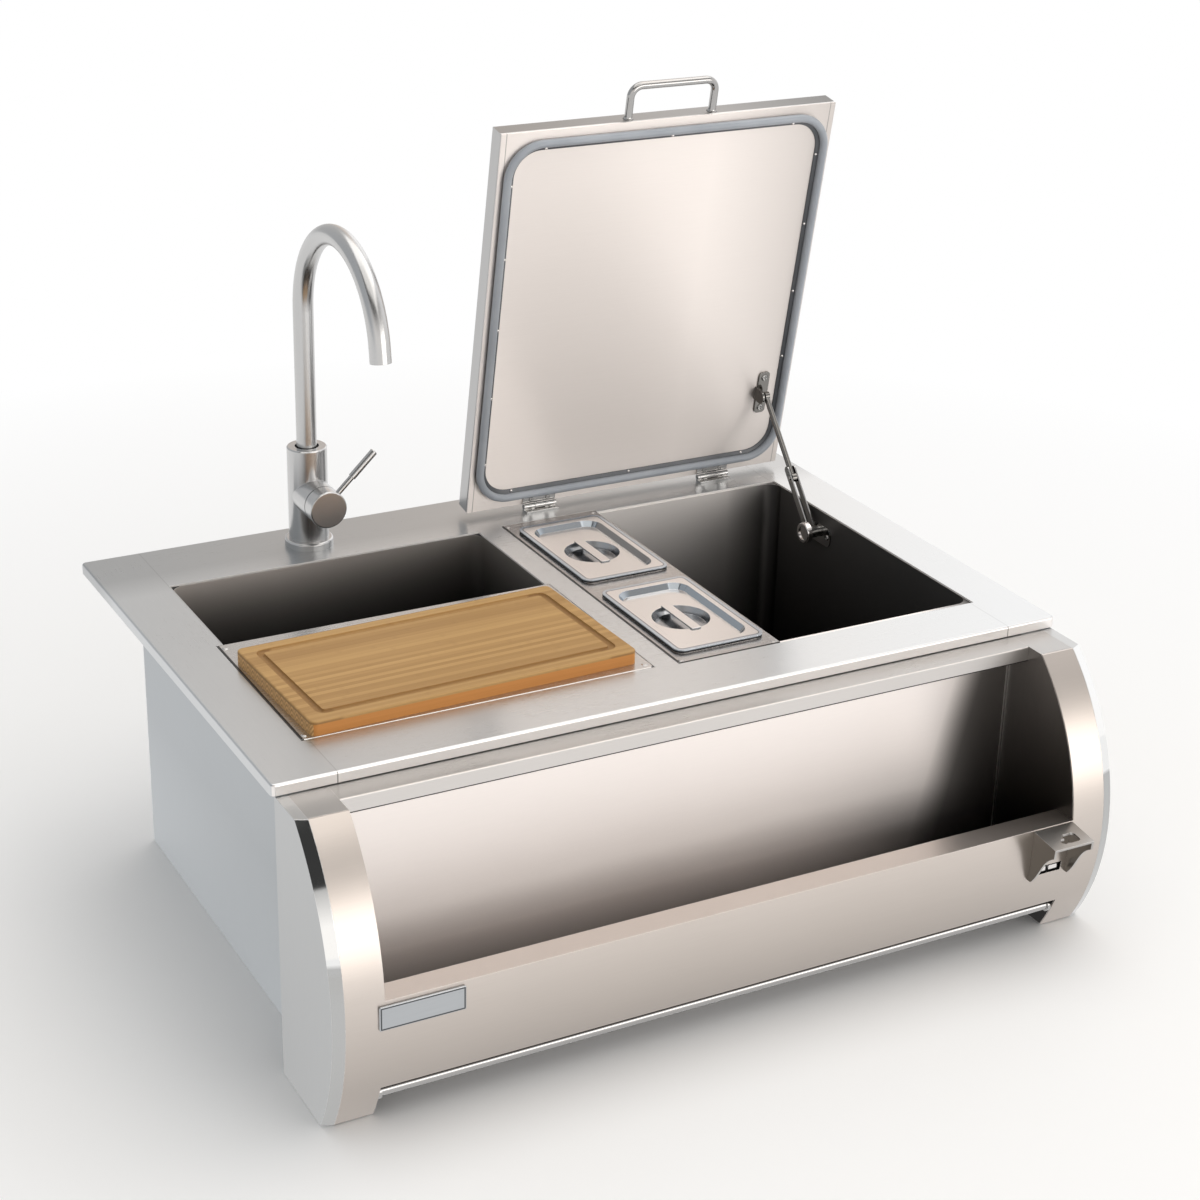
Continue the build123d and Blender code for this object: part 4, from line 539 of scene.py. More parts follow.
boardLow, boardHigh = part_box("cutting_board")
boardMiddle, boardHalf = (boardLow + boardHigh) / 2, (boardHigh - boardLow) / 2
boardTurn = math.radians(2.0)
boardLook = {
    "turn": boardTurn, "top": boardHigh.z, "thick": boardHalf.z * 2,
    "middle": boardMiddle.x * math.cos(boardTurn) + boardMiddle.y * math.sin(boardTurn),
    "half": boardHalf.x - boardHalf.y * math.sin(boardTurn),
    "strip": 0.0062, "stripPart": 0.38, "fibreScale": (7.0, 900.0, 900.0),
    "fibre": {"scale": 1.0, "detail": 4.0, "rough": 0.7}, "fibrePart": 0.5,
    "band": {"scale": 0.22, "detail": 2.0, "rough": 0.5}, "bandPart": 0.20,
    "topSpan": (0.24, 0.78), "dark": (0.345, 0.188, 0.062), "light": (0.53, 0.318, 0.116),
    "knotGap": 0.24, "knotShift": 5.0, "knotHalf": 0.018, "knotDepth": 0.14, "knot": (0.26, 0.135, 0.045),
    "sideSpan": (0.75, 0.3), "sideBelow": (0.0036, 0.0028), "edgeSpan": (0.2, 0.9),
    "edgeDark": (0.46, 0.178, 0.041), "edgeLight": (0.645, 0.28, 0.073),
    "endFacing": 0.6, "arcBend": 2.2, "arcRate": 17.0, "arcDepth": 0.7, "poreScale": 900.0, "poreDepth": 0.5,
    "endDark": (0.27, 0.125, 0.036), "endLight": (0.70, 0.42, 0.17),
    "grooveFar": 0.034, "grooveSoft": 0.004, "grooveLeast": 0.04, "grooveStrip": 0.5, "grooveDeep": 0.25,
    "grooveBelow": (0.0016, 0.0004), "groove": (0.46, 0.36, 0.27),
    "roughSpan": (0.2, 1.0), "rough": (0.58, 0.44), "gloss": 0.35, "bump": 0.18, "bumpDistance": 0.0003}


def boardTop(tree, parts, chance, tone, look):  # strips of slightly different tone with knots across them
    knotPlace = total(tree, maths(tree, "DIVIDE", parts["X"], look["knotGap"]),
                      product(tree, chance, look["knotShift"]))
    fromKnot = offset(tree, maths(tree, "FRACT", knotPlace), 0.5)
    knotMask = remap(tree, fromKnot, 0.0, look["knotHalf"], 1.0, 0.0)
    top = mixColours(tree, remap(tree, tone, *look["topSpan"]), look["dark"], look["light"])
    return mixColours(tree, product(tree, knotMask, look["knotDepth"]), top, look["knot"])


def boardSides(tree, place, parts, facing, tone, look):  # long edges, and ends with arcs of end grain
    edgeTone = mixColours(tree, remap(tree, tone, *look["edgeSpan"]), look["edgeDark"], look["edgeLight"])
    endMask = maths(tree, "GREATER_THAN", maths(tree, "ABSOLUTE", facing["X"]), look["endFacing"])
    pair = maths(tree, "FRACT", maths(tree, "DIVIDE", parts["Y"], look["strip"] * 2))
    across = maths(tree, "SUBTRACT", pair, 0.5)
    arc = total(tree, product(tree, product(tree, across, across), look["arcBend"]),
                maths(tree, "DIVIDE", parts["Z"], look["thick"]))
    wave = maths(tree, "SINE", product(tree, arc, look["arcRate"]))
    layer = remap(tree, wave, -1.0, 1.0, 0.0, look["arcDepth"])
    pores = product(tree, cells(tree, place, look["poreScale"]), look["poreDepth"])
    endTone = mixColours(tree, maths(tree, "ADD", layer, pores, True), look["endDark"], look["endLight"])
    return mixColours(tree, endMask, edgeTone, endTone)


def grooveShadeMask(tree, parts, chance, look):  # painted shade in the groove, varying from strip to strip and darkest at the ends of the board
    fromEnd = maths(tree, "SUBTRACT", look["half"], offset(tree, parts["X"], look["middle"]))
    near = look["grooveFar"] - look["grooveSoft"]
    atEnd = remap(tree, fromEnd, look["grooveFar"], near, look["grooveLeast"], 1.0)
    deep = total(tree, product(tree, atEnd, product(tree, chance, look["grooveStrip"])),
                 product(tree, atEnd, look["grooveDeep"]))
    floor, brim = (look["top"] - below for below in look["grooveBelow"])
    return product(tree, deep, remap(tree, parts["Z"], floor, brim, 1.0, 0.0))


def bambooFinish(look):
    mat, tree, shader, place = startFinish("bambooBoard")
    turned = mapped(tree, place, Rotation=(0, 0, -look["turn"]))
    parts = axesOf(tree, turned)
    strip = maths(tree, "FLOOR", maths(tree, "DIVIDE", parts["Y"], look["strip"]))
    chance = feedNamed(tree, addNode(tree, "TexWhiteNoise", noise_dimensions="1D"), {"W": strip})["Value"]
    grain = mapped(tree, turned, Scale=look["fibreScale"])
    fibre = noise(tree, grain, **look["fibre"])
    band = noise(tree, grain, **look["band"])
    fine = total(tree, product(tree, fibre, look["fibrePart"]), product(tree, band, look["bandPart"]))
    tone = total(tree, product(tree, chance, look["stripPart"]), fine)
    facing = axesOf(tree, addNode(tree, "NewGeometry").outputs["Normal"])
    low, high = (look["top"] - below for below in look["sideBelow"])
    underTop = remap(tree, parts["Z"], low, high, 1.0, 0.0)  # walls of the groove keep the top's colour
    sideMask = product(tree, remap(tree, facing["Z"], *look["sideSpan"]), underTop)
    top = boardTop(tree, parts, chance, tone, look)
    # painted shade in the groove
    body = mixColours(tree, grooveShadeMask(tree, parts, chance, look), top, look["groove"], "MULTIPLY")
    sides = boardSides(tree, turned, parts, facing, tone, look)
    feed(tree, shader.inputs["Base Color"], mixColours(tree, sideMask, body, sides))
    feed(tree, shader.inputs["Roughness"], remap(tree, tone, *look["roughSpan"], *look["rough"]))
    shader.inputs["Specular IOR Level"].default_value = look["gloss"]
    roughen(tree, shader, fibre, look)
    arrange(tree)
    return mat


rubberBase = {"cloudScale": 14.0, "rough": (0.30, 0.42), "bump": 0.12, "bumpDistance": 0.0002,
              "grain": {"scale": 1800.0, "detail": 2.0, "rough": 0.6}}
rubberLooks = {"gasketRubber": {"dark": (0.30, 0.325, 0.36), "light": (0.38, 0.405, 0.44)},
               # painted shade: the flange beside the bulb is nearly black
               "gasketFlangeShade": {"dark": (0.075, 0.08, 0.088), "light": (0.11, 0.116, 0.125)}}


def rubberFinish(name, changes):
    look = {**rubberBase, **changes}
    mat, tree, shader, place = startFinish(name)
    hands = useGroup(tree, handling, Vector=place, Scale=look["cloudScale"])
    feed(tree, shader.inputs["Base Color"], mixColours(tree, hands["Cloud"], look["dark"], look["light"]))
    feed(tree, shader.inputs["Roughness"], remap(tree, hands["Smear"], 0.0, 1.0, *look["rough"]))
    roughen(tree, shader, noise(tree, place, **look["grain"]), look)
    arrange(tree)
    return mat


foamLook = {"dark": (0.62, 0.55, 0.36), "light": (0.82, 0.76, 0.58), "cellScale": 420.0, "rough": 0.9,
            "bump": 0.4, "bumpDistance": 0.0006}


def foamFinish(look):
    mat, tree, shader, place = startFinish("foamCore")
    cell = cells(tree, place, look["cellScale"])
    feed(tree, shader.inputs["Base Color"], mixColours(tree, cell, look["dark"], look["light"]))
    shader.inputs["Roughness"].default_value = look["rough"]
    roughen(tree, shader, cell, look)
    arrange(tree)
    return mat


finish["bambooBoard"] = bambooFinish(boardLook)
for name, look in rubberLooks.items():
    finish[name] = rubberFinish(name, look)
finish["foamCore"] = foamFinish(foamLook)
print("board, rubber and foam finishes ready")


# which node has which finish

nodeFinish = {
    "deckSteel": ["deck_panel"],
    "panelSteel": ["condiment_panel"],
    "traySteel": ["board_tray"],
    "jacketSteel": ["jacket"],
    "sinkSteel": ["sink_basin"],
    "binSteel": ["bin_liner"],
    "skinSteel": ["front_skin", "apron"],
    "troughSteel": ["trough"],
    "cheekSteel": ["left_cheek", "right_cheek"],
    "endSteel": ["left_end_cap", "right_end_cap"],
    "lidSteel": ["lid_outer"],
    "lidInnerSteel": ["lid_inner"],
    "tapSteel": ["tap_ring", "tap_body", "spout", "valve_cap", "lever"],
    "rearLidSteel": ["pan_lid_rear"],
    "frontLidSteel": ["pan_lid_front"],
    "hingeSteel": ["hinge_deck_leaves", "hinge_lid_leaves"],
    "polishedSteel": ["pan_bar_rear", "pan_bar_front", "pan_rear", "pan_front", "stay_disc"],
    "barSteel": ["towel_bar", "lid_handle"],
    "hardwareSteel": ["hinge_pins", "hinge_deck_screws", "hinge_lid_screws", "gasket_rivets",
                      "stay_wall_bracket", "stay_lid_screws", "stay_wall_screws"],
    "staySteel": ["stay_arm_fork"],
    "rodSteel": ["stay_rod", "stay_lid_bracket"],
    "openerSteel": ["bottle_opener"],
    "plateMetal": ["front_plate"],
    "fittingMetal": ["sink_drain", "sink_drain_nut", "sink_tailpiece", "bin_drain", "bin_drain_nut",
                     "tap_shank", "tap_nut"],
    "darkBacking": ["opener_backing", "aerator"],
    "bambooBoard": ["cutting_board"],
    "gasketRubber": ["gasket"],
    "foamCore": ["bin_insulation", "lid_insulation"],
}
for name, members in nodeFinish.items():
    for member in members:
        nodes[member].data.materials.clear()
        nodes[member].data.materials.append(finish[name])


def dressFaces(member, name, chosen):  # gives some faces of a sheet a second finish, by normal and centre
    mesh = nodes[member].data
    mesh.materials.append(finish[name])
    place = len(mesh.materials) - 1
    for face in mesh.polygons:
        if chosen(face.normal, face.center):
            face.material_index = place


partly, mostly, fully = 0.3, 0.6, 0.9  # how far a normal must point one way
faceLook = {"border": (0.15, 0.7), "lipBefore": -0.25, "cutAbove": 0.3205, "cutAcross": 0.44,
            "cutAlong": (-0.24, 0.32), "foldsAbove": 0.25, "skinLipAbove": 0.14, "slope": (0.3, 0.97),
            "recessBelow": 0.3205, "recess": 0.0335, "panX": 0.086, "skirtAbove": 0.3215, "paintedShadeSide": 0.5,
            "flangeAbove": 0.31, "lidTopAbove": 0.7, "tabFront": -0.38225, "collarBefore": 0.24,
            "seatMiddle": (-0.2015, 0.2833), "seat": 0.0142, "seatSpan": (0.44, 0.4427)}


def onCutEdge(n, c):  # walls of the cut-outs that face the front or the left, which get a painted highlight
    front, rear = faceLook["cutAlong"]
    inside = abs(c.x) < faceLook["cutAcross"] and front < c.y < rear and c.z > faceLook["cutAbove"]
    return inside and n.z < partly and min(n.x, n.y) < -partly


def inRound(c, middle, radius):
    return math.hypot(c.x - middle[0], c.y - middle[1]) < radius


def inTapGap(n, c):  # painted shade on the faces in the gaps at the valve collar and round the foot of the spout
    low, high = faceLook["seatSpan"]
    atSeat = low < c.z < high and inRound(c, faceLook["seatMiddle"], faceLook["seat"])
    return atSeat or (n.y < -fully and c.y < faceLook["collarBefore"])


for side in ("left_end_cap", "right_end_cap"):  # the slanted border is polished, the flat end is brushed
    dressFaces(side, "mirrorSteel", lambda n, c: faceLook["border"][0] < abs(n.x) < faceLook["border"][1])
# painted light on the front-facing faces of the deck
dressFaces("deck_panel", "lipSteel", lambda n, c: n.y < -mostly and c.y < faceLook["lipBefore"])
dressFaces("deck_panel", "cutEdgeHighlight", onCutEdge)
for member in ("apron", "left_cheek", "right_cheek"):  # level folds catch less light than the upright sheets
    dressFaces(member, "apronTop", lambda n, c: n.z > fully and c.z > faceLook["foldsAbove"])
dressFaces("apron", "apronLip", lambda n, c: n.y < -mostly)
dressFaces("front_skin", "lipTop", lambda n, c: n.z > fully and c.z > faceLook["skinLipAbove"])
# painted light on the inner faces of the skin
dressFaces("front_skin", "skinInside", lambda n, c: n.y > partly)
for member in ("board_tray", "condiment_panel"):  # cut sides of the drop-in sheets get painted shade
    dressFaces(member, "paintedShadeSide", lambda n, c: abs(n.z) < partly)
# on each pan lid: painted reflection on the slopes, painted shade in the recess, painted highlight and shade
# on the skirt
for member in panLids:
    lidMiddle = (faceLook["panX"], (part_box(member)[0][1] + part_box(member)[1][1]) / 2)
    dressFaces(member, "slopeSteel", lambda n, c: faceLook["slope"][0] < n.z < faceLook["slope"][1])
    dressFaces(member, "recessSteel", lambda n, c: c.z < faceLook["recessBelow"]
               and inRound(c, lidMiddle, faceLook["recess"]))
    dressFaces(member, "rimSteel", lambda n, c: abs(n.z) < partly and c.z > faceLook["skirtAbove"])
# painted shade on the side faces of the pan bars
for member in ("pan_bar_rear", "pan_bar_front"):
    dressFaces(member, "paintedShadeSide", lambda n, c: n.z < faceLook["paintedShadeSide"])
# painted shade: the top of the sink's flange under the deck is nearly black
dressFaces("sink_basin", "paintedGapShade", lambda n, c: n.z > fully and c.z > faceLook["flangeAbove"])
# painted shade on the top face of the lid
dressFaces("lid_outer", "lidTopSteel", lambda n, c: n.z > fully and c.z > faceLook["lidTopAbove"])
dressFaces("opener_backing", "polishedSteel", lambda n, c: c.y < faceLook["tabFront"])  # two bright tabs
# painted shade on the side faces of the opener
dressFaces("bottle_opener", "openerSide", lambda n, c: abs(n.x) > mostly)
# painted shade on the rear face of the valve cap
dressFaces("valve_cap", "paintedGapShade", lambda n, c: n.y > fully)
dressFaces("tap_body", "paintedGapShade", inTapGap)
print("finishes given to", sum(len(members) for members in nodeFinish.values()), "nodes")


# lid trim: the lid leans back on its hinge line, so its trim is laid out in the lid's own plane

lidLook = {"open": 79.56, "hinge": (0.210, 0.269, 0.3285), "gap": 0.0041, "leaf": 0.002}
lean = math.radians(lidLook["open"])
lidAcross = Vector((1, 0, 0))
lidUp = Vector((0, -math.cos(lean), math.sin(lean)))
lidOut = Vector((0, -math.sin(lean), -math.cos(lean)))
lidStart = Vector(lidLook["hinge"]) - lidOut * lidLook["gap"]


def onLid(across, up, out):
    return lidStart + lidAcross * across + lidUp * up + lidOut * out


def addPiece(name, bm, body, finishName, replaced):
    mesh = bpy.data.meshes.new(name)
    bmesh.ops.recalc_face_normals(bm, faces=bm.faces)
    bm.to_mesh(mesh)
    bm.free()
    for face in mesh.polygons:
        face.use_smooth = True
    piece = bpy.data.objects.new(name, mesh)
    bpy.context.scene.collection.objects.link(piece)
    mesh.materials.append(finish[finishName])
    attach(piece, body)
    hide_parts(*replaced)
    return piece


def joinLoops(bm, first, second):  # a band of faces between two closed loops
    faces = []
    for i in range(len(first)):
        j = (i + 1) % len(first)
        faces.append(bm.faces.new((first[i], first[j], second[j], second[i])))
    return faces


gasketLook = {"width": 0.419, "length": 0.459, "middle": 0.2423, "corner": 0.045, "cornerSteps": 14,
              "bulb": 0.0092, "height": 0.0093, "foot": 0.0022, "arcStart": 215, "arcTurn": 250,
              "arcSteps": 14, "flange": 0.0044, "neck": 0.0013, "thick": 0.0011, "lipSoft": 0.0004,
              "lipEdge": 0.0007, "flangeLoops": 5}


def gasketProfile(look):  # round bulb with a thin flange on its inner side, as (inward, height) pairs
    bulb, height = look["bulb"], look["height"]
    points = [(look["foot"], 0.0)]
    for i in range(look["arcSteps"] + 1):
        a = math.radians(look["arcStart"] - look["arcTurn"] * i / look["arcSteps"])
        points.append((bulb / 2 + bulb / 2 * math.cos(a), height / 2 + height / 2 * math.sin(a)))
    reach = bulb + look["flange"]
    points += [(bulb, look["neck"]), (reach - look["lipSoft"], look["thick"])]
    return points + [(reach, look["lipEdge"]), (reach, 0.0)]


def roundedLoop(halfWidth, halfLength, corner, steps):
    points = []
    for turn, cx, cy in ((0, 1, 1), (90, -1, 1), (180, -1, -1), (270, 1, -1)):
        for i in range(steps + 1):
            a = math.radians(turn + 90.0 * i / steps)
            x = cx * (halfWidth - corner) + corner * math.cos(a)
            points.append((x, cy * (halfLength - corner) + corner * math.sin(a)))
    return points


def makeGasket(look):
    bm = bmesh.new()
    loops = []
    for inward, height in gasketProfile(look):
        loop = roundedLoop(look["width"] / 2 - inward, look["length"] / 2 - inward, look["corner"] - inward,
                           look["cornerSteps"])
        loops.append([bm.verts.new(onLid(x, look["middle"] + y, height)) for x, y in loop])
    # the flange loops take the dark finish, painted shade beside the bulb
    for place, (first, second) in enumerate(zip(loops, loops[1:] + loops[:1])):
        for face in joinLoops(bm, first, second):
            face.material_index = 1 if place >= len(loops) - look["flangeLoops"] else 0
    piece = addPiece("gasketBulb", bm, "lid", "gasketRubber", ["gasket"])
    piece.data.materials.append(finish["gasketFlangeShade"])


headLook = {"around": 40, "rings": 9, "crown": 0.97, "roundness": 2.4,
            "slotTip": 0.55, "slotReach": 0.66, "slotFloor": 0.35, "slotRise": 0.6, "slotFlat": 0.45}


def headLevel(part, x, y, height, cross):  # height of a domed head at one point, lower in its cross recess
    level = height * math.sqrt(max(0.0, 1 - (part * headLook["crown"]) ** headLook["roundness"]))
    if cross and part < headLook["slotReach"] and min(abs(x), abs(y)) < cross:
        rise = headLook["slotRise"] * max(0.0, part - headLook["slotFlat"])
        level = min(level, height * (headLook["slotFloor"] + rise))
    return level


def addHead(bm, middle, across, out, radius, height, cross=0.0):  # cross is half the width of a cross recess
    other = out.cross(across)
    around, rings = headLook["around"], headLook["rings"]
    tip = bm.verts.new(middle + out * (height * (headLook["slotTip"] if cross else 1.0)))
    last = None
    for k in range(1, rings + 1):
        part = k / rings
        ring = []
        for i in range(around):
            a = 2 * math.pi * i / around
            x, y = math.cos(a) * part * radius, math.sin(a) * part * radius
            spot = middle + across * x + other * y
            ring.append(bm.verts.new(spot + out * headLevel(part, x, y, height, cross)))
        for i in range(around):
            j = (i + 1) % around
            bm.faces.new((last[i], ring[i], ring[j], last[j]) if last else (tip, ring[i], ring[j]))
        last = ring
    foot = [bm.verts.new(v.co - out * (v.co - middle).dot(out)) for v in last]
    for i in range(around):
        j = (i + 1) % around
        bm.faces.new((last[i], foot[i], foot[j], last[j]))
    bm.faces.new(foot)


rivetLook = {"radius": 0.0019, "height": 0.0017, "acrossHalf": 0.1981, "upHalf": 0.2181, "sideGap": 0.0882,
             "endGap": 0.1595, "lift": 0.0011}


def makeRivets(look):
    bm = bmesh.new()
    spots = [(s * look["acrossHalf"], k * look["sideGap"]) for s in (-1, 1) for k in (-2, -1, 0, 1, 2)]
    spots += [(k * look["endGap"], s * look["upHalf"]) for s in (-1, 1) for k in (-1, 0, 1)]
    for x, y in spots:
        spot = onLid(x, gasketLook["middle"] + y, look["lift"])
        addHead(bm, spot, lidAcross, lidOut, look["radius"], look["height"])
    addPiece("gasketRivetHeads", bm, "lid", "polishedSteel", ["gasket_rivets"])


screwLook = {
    "lidLeaf": {"radius": 0.0030, "height": 0.0016, "cross": 0.00055, "up": 0.0077,
                "spread": 0.1205, "gap": 0.022},
    "deckLeaf": {"radius": 0.0026, "height": 0.0010, "cross": 0.0005, "y": 0.2635, "z": 0.325,
                 "spread": 0.1205, "gap": 0.026},
    "stayLid": {"radius": 0.0042, "height": 0.0018, "cross": 0.0008, "across": 0.177, "up": 0.1066,
                "gap": 0.041},
    "stayWall": {"radius": 0.0034, "height": 0.0016, "cross": 0.0007, "x": 0.3959, "y": (0.104, 0.138),
                 "z": 0.293},
}


def makeScrews(name, body, replaced, look, spots, across, out):
    bm = bmesh.new()
    for spot in spots:
        addHead(bm, spot, across, out, look["radius"], look["height"], look["cross"])
    addPiece(name, bm, body, "hardwareSteel", [replaced])


def pairsOf(look):  # two screws on each of two hinges
    return [s * look["spread"] + k * look["gap"] for s in (-1, 1) for k in (-0.5, 0.5)]


def makeAllScrews():
    look = screwLook["lidLeaf"]
    spots = [onLid(x, look["up"], lidLook["leaf"]) for x in pairsOf(look)]
    makeScrews("hingeLidScrewHeads", "lid", "hinge_lid_screws", look, spots, lidAcross, lidOut)
    look = screwLook["deckLeaf"]
    spots = [Vector((lidLook["hinge"][0] + x, look["y"], look["z"])) for x in pairsOf(look)]
    upward = Vector((0, 0, 1))
    makeScrews("hingeDeckScrewHeads", "cabinet", "hinge_deck_screws", look, spots, lidAcross, upward)
    look = screwLook["stayLid"]
    spots = [onLid(look["across"], look["up"] + k * look["gap"], lidLook["leaf"]) for k in (-0.5, 0.5)]
    makeScrews("stayLidScrewHeads", "lid", "stay_lid_screws", look, spots, lidAcross, lidOut)
    look = screwLook["stayWall"]
    spots = [Vector((look["x"], y, look["z"])) for y in look["y"]]
    rearward, leftward = Vector((0, 1, 0)), Vector((-1, 0, 0))
    makeScrews("stayWallScrewHeads", "cabinet", "stay_wall_screws", look, spots, rearward, leftward)


handleLook = {"half": 0.054, "foot": 0.4805, "rise": 0.03797, "bend": 0.013, "bendSteps": 14,
              "radius": 0.0045, "around": 28, "back": -0.010,
              "weld": [(0.0, 0.0062), (0.0008, 0.0054), (0.0018, 0.0048), (0.003, 0.0045)]}


def handleLine(look):  # points along the bar as (across, up, radius), thicker at the weld fillets
    half, foot, bend = look["half"], look["foot"], look["bend"]
    top = foot + look["rise"]
    line = [(-half, foot + step, radius) for step, radius in look["weld"]]
    for turn, cx in ((180, -half + bend), (90, half - bend)):
        for i in range(look["bendSteps"] + 1):
            a = math.radians(turn - 90 * i / look["bendSteps"])
            line.append((cx + bend * math.cos(a), top - bend + bend * math.sin(a), look["radius"]))
    return line + [(half, foot + step, radius) for step, radius in reversed(look["weld"])]


def makeHandle(look):  # bent round bar welded to the lid's end
    bm = bmesh.new()
    line = handleLine(look)
    rings = []
    for i, (x, y, radius) in enumerate(line):
        before, after = line[max(0, i - 1)], line[min(len(line) - 1, i + 1)]
        along = Vector((after[0] - before[0], after[1] - before[1])).normalized()
        side = Vector((along.y, -along.x))
        ring = []
        for k in range(look["around"]):
            a = 2 * math.pi * k / look["around"]
            reach = radius * math.cos(a)
            spot = onLid(x + side.x * reach, y + side.y * reach, look["back"] + radius * math.sin(a))
            ring.append(bm.verts.new(spot))
        rings.append(ring)
    for first, second in zip(rings, rings[1:]):
        joinLoops(bm, first, second)
    bm.faces.new(rings[0])
    bm.faces.new(list(reversed(rings[-1])))
    addPiece("lidHandleBar", bm, "lid", "barSteel", ["lid_handle"])


makeGasket(gasketLook)
makeRivets(rivetLook)
makeAllScrews()
makeHandle(handleLook)
print("lid trim and screws ready")


# stage

floorLook = {"half": 40.0, "drop": 0.001, "colour": (0.93, 0.93, 0.925), "rough": 0.9, "gloss": 0.1,
             "whiteSpan": (0.75, 1.9), "mirrorSpan": (0.42, 0.75), "mirrorNear": 0.60,
             "patch": (-0.80, -1.25, 0.0), "patchSpan": (0.22, 0.55), "patchDepth": 0.5,
             "glow": (1.0, 1.0, 1.0)}


def floorFinish(look):
    mat, tree, shader, place = startFinish("paleFloor")
    shader.inputs["Roughness"].default_value = look["rough"]
    shader.inputs["Specular IOR Level"].default_value = look["gloss"]
    feed(tree, shader.inputs["Base Color"], look["colour"])
    reach = vectorMaths(tree, "LENGTH", place)
    path = addNode(tree, "LightPath")
    far = remap(tree, reach, *look["whiteSpan"])  # white in the distance, shaded near the object
    seen = product(tree, far, path.outputs["Is Camera Ray"])
    bright = remap(tree, reach, *look["mirrorSpan"], look["mirrorNear"], 1.0)
    toPatch = vectorMaths(tree, "DISTANCE", place, look["patch"])
    patch = remap(tree, toPatch, *look["patchSpan"], 1.0 - look["patchDepth"], 1.0)
    bright = product(tree, bright, patch)  # the darker patch draws the lines on round bars
    mirrored = product(tree, path.outputs["Is Glossy Ray"], bright)  # the sheets reflect the white floor too
    glow = addNode(tree, "Emission")
    feed(tree, glow.inputs["Color"], look["glow"])
    blend = addNode(tree, "MixShader")
    feed(tree, blend.inputs[0], maths(tree, "MAXIMUM", seen, mirrored))
    feed(tree, blend.inputs[1], shader.outputs["BSDF"])
    feed(tree, blend.inputs[2], glow.outputs[0])
    output = next(node for node in tree.nodes if node.type == "OUTPUT_MATERIAL")
    feed(tree, output.inputs["Surface"], blend.outputs[0])
    arrange(tree)
    return mat


def makeFloor(look):
    bm = bmesh.new()
    bmesh.ops.create_grid(bm, x_segments=1, y_segments=1, size=look["half"])
    mesh = bpy.data.meshes.new("studioFloor")
    bm.to_mesh(mesh)
    bm.free()
    floor = bpy.data.objects.new("studioFloor", mesh)
    bpy.context.scene.collection.objects.link(floor)
    floor.location = (0, 0, -look["drop"])
    mesh.materials.append(floorFinish(look))


lampLooks = {
    "topBox": {"place": (0.3, -0.2, 3.4), "target": (0, 0, 0), "size": (4.8, 3.8), "power": 70,
               "colour": (1.0, 0.98, 0.95)},
    "rightBox": {"place": (3.6, 3.2, 2.2), "target": (0, 0, 0.3), "size": (3.0, 2.4), "power": 8,
                 "colour": (1.0, 0.97, 0.93)},
    "frontBox": {"place": (1.4, -3.6, 0.80), "target": (0, 0, 0.3), "size": (3.2, 1.6), "power": 34,
                 "colour": (1.0, 0.97, 0.94)},
}


def makeLamp(name, look):
    lamp = bpy.data.lights.new(name, "AREA")
    lamp.shape = "RECTANGLE"
    lamp.size, lamp.size_y = look["size"]
    lamp.energy = look["power"]
    lamp.color = look["colour"]
    holder = bpy.data.objects.new(name, lamp)
    holder.location = look["place"]
    aim = Vector(look["target"]) - Vector(look["place"])
    holder.rotation_euler = aim.to_track_quat("-Z", "Y").to_euler()
    bpy.context.scene.collection.objects.link(holder)


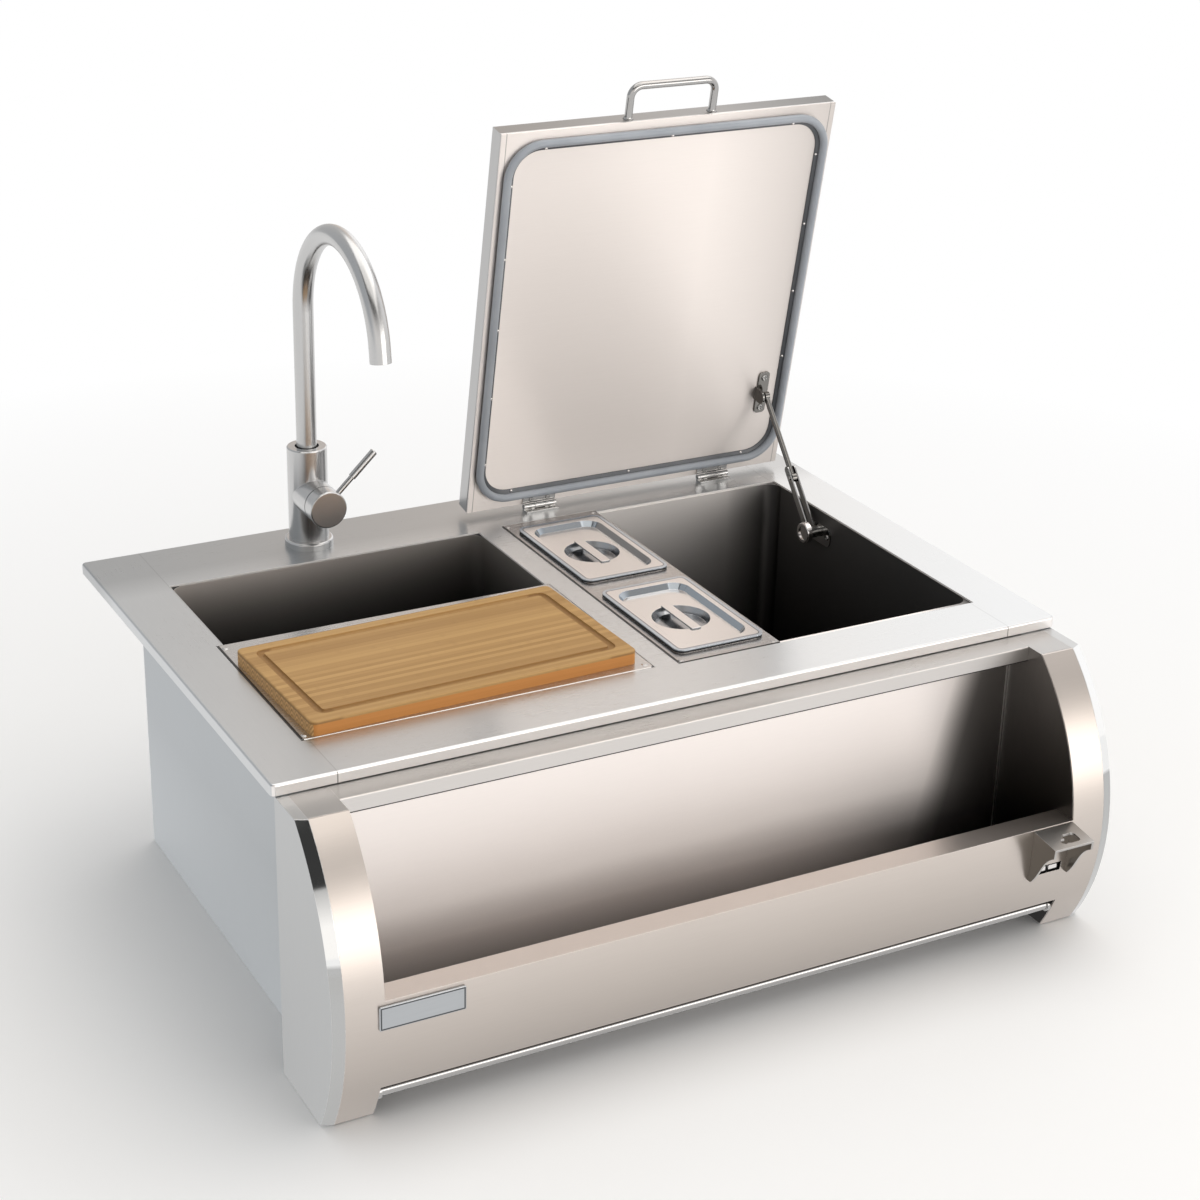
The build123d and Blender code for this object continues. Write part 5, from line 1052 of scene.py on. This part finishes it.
roomLook = {"left": (0.64, 0.67, 0.70), "right": (0.84, 0.81, 0.78), "sideSpan": (-0.8, 0.8),
            "warm": (1.02, 0.90, 0.81), "warmSpan": (0.26, 0.42),
            "glow": (1.30, 1.30, 1.31), "glowSpan": (0.40, 0.58),
            "front": (1.30, 1.27, 1.24), "frontHigh": (0.50, 0.50, 0.50), "frontSpan": (-0.15, -0.65),
            "heightSpan": (0.24, 0.55), "card": (-0.30, -0.44, 0.85), "cardSpan": (0.864, 0.876),
            "cardColour": (0.05, 0.05, 0.05), "strength": 0.86}


def makeWorld(look):
    world = bpy.data.worlds.new("softRoom")
    bpy.context.scene.world = world
    world.use_nodes = True
    tree = world.node_tree
    tree.nodes.clear()
    place = addNode(tree, "TexCoord").outputs["Generated"]
    parts = axesOf(tree, place)
    colour = mixColours(tree, remap(tree, parts["X"], *look["sideSpan"]), look["left"], look["right"])
    colour = mixColours(tree, remap(tree, parts["X"], *look["warmSpan"]), colour, look["warm"])
    colour = mixColours(tree, remap(tree, parts["X"], *look["glowSpan"]), colour, look["glow"])
    ahead = mixColours(tree, remap(tree, parts["Z"], *look["heightSpan"]), look["front"], look["frontHigh"])
    colour = mixColours(tree, remap(tree, parts["Y"], *look["frontSpan"]), colour, ahead)
    toCard = vectorMaths(tree, "DOT_PRODUCT", place, tuple(Vector(look["card"]).normalized()))
    card = remap(tree, toCard, *look["cardSpan"])  # dark card high in front of the object
    colour = mixColours(tree, card, colour, look["cardColour"])
    back = addNode(tree, "Background")
    feedNamed(tree, back, {"Color": colour, "Strength": look["strength"]})
    feed(tree, addNode(tree, "OutputWorld").inputs["Surface"], back.outputs[0])
    arrange(tree)


cameraLook = {"lens": 72.367, "sensor": 36.0, "shift": (0.02322, -0.00371), "clip": (0.05, 60.0),
              "place": (-1.14397, -2.13958, 1.38598), "turn": (66.4967, -1.0590, -27.5384)}


def makeCamera(look):
    camera = bpy.data.cameras.new("viewCamera")
    camera.lens, camera.sensor_width = look["lens"], look["sensor"]
    camera.shift_x, camera.shift_y = look["shift"]
    camera.clip_start, camera.clip_end = look["clip"]
    holder = bpy.data.objects.new("viewCamera", camera)
    holder.location = look["place"]
    holder.rotation_euler = tuple(math.radians(a) for a in look["turn"])
    bpy.context.scene.collection.objects.link(holder)
    bpy.context.scene.camera = holder


makeFloor(floorLook)
for name, look in lampLooks.items():
    makeLamp(name, look)
makeWorld(roomLook)
makeCamera(cameraLook)
bpy.context.scene.view_settings.view_transform = "Standard"
print("stage ready")
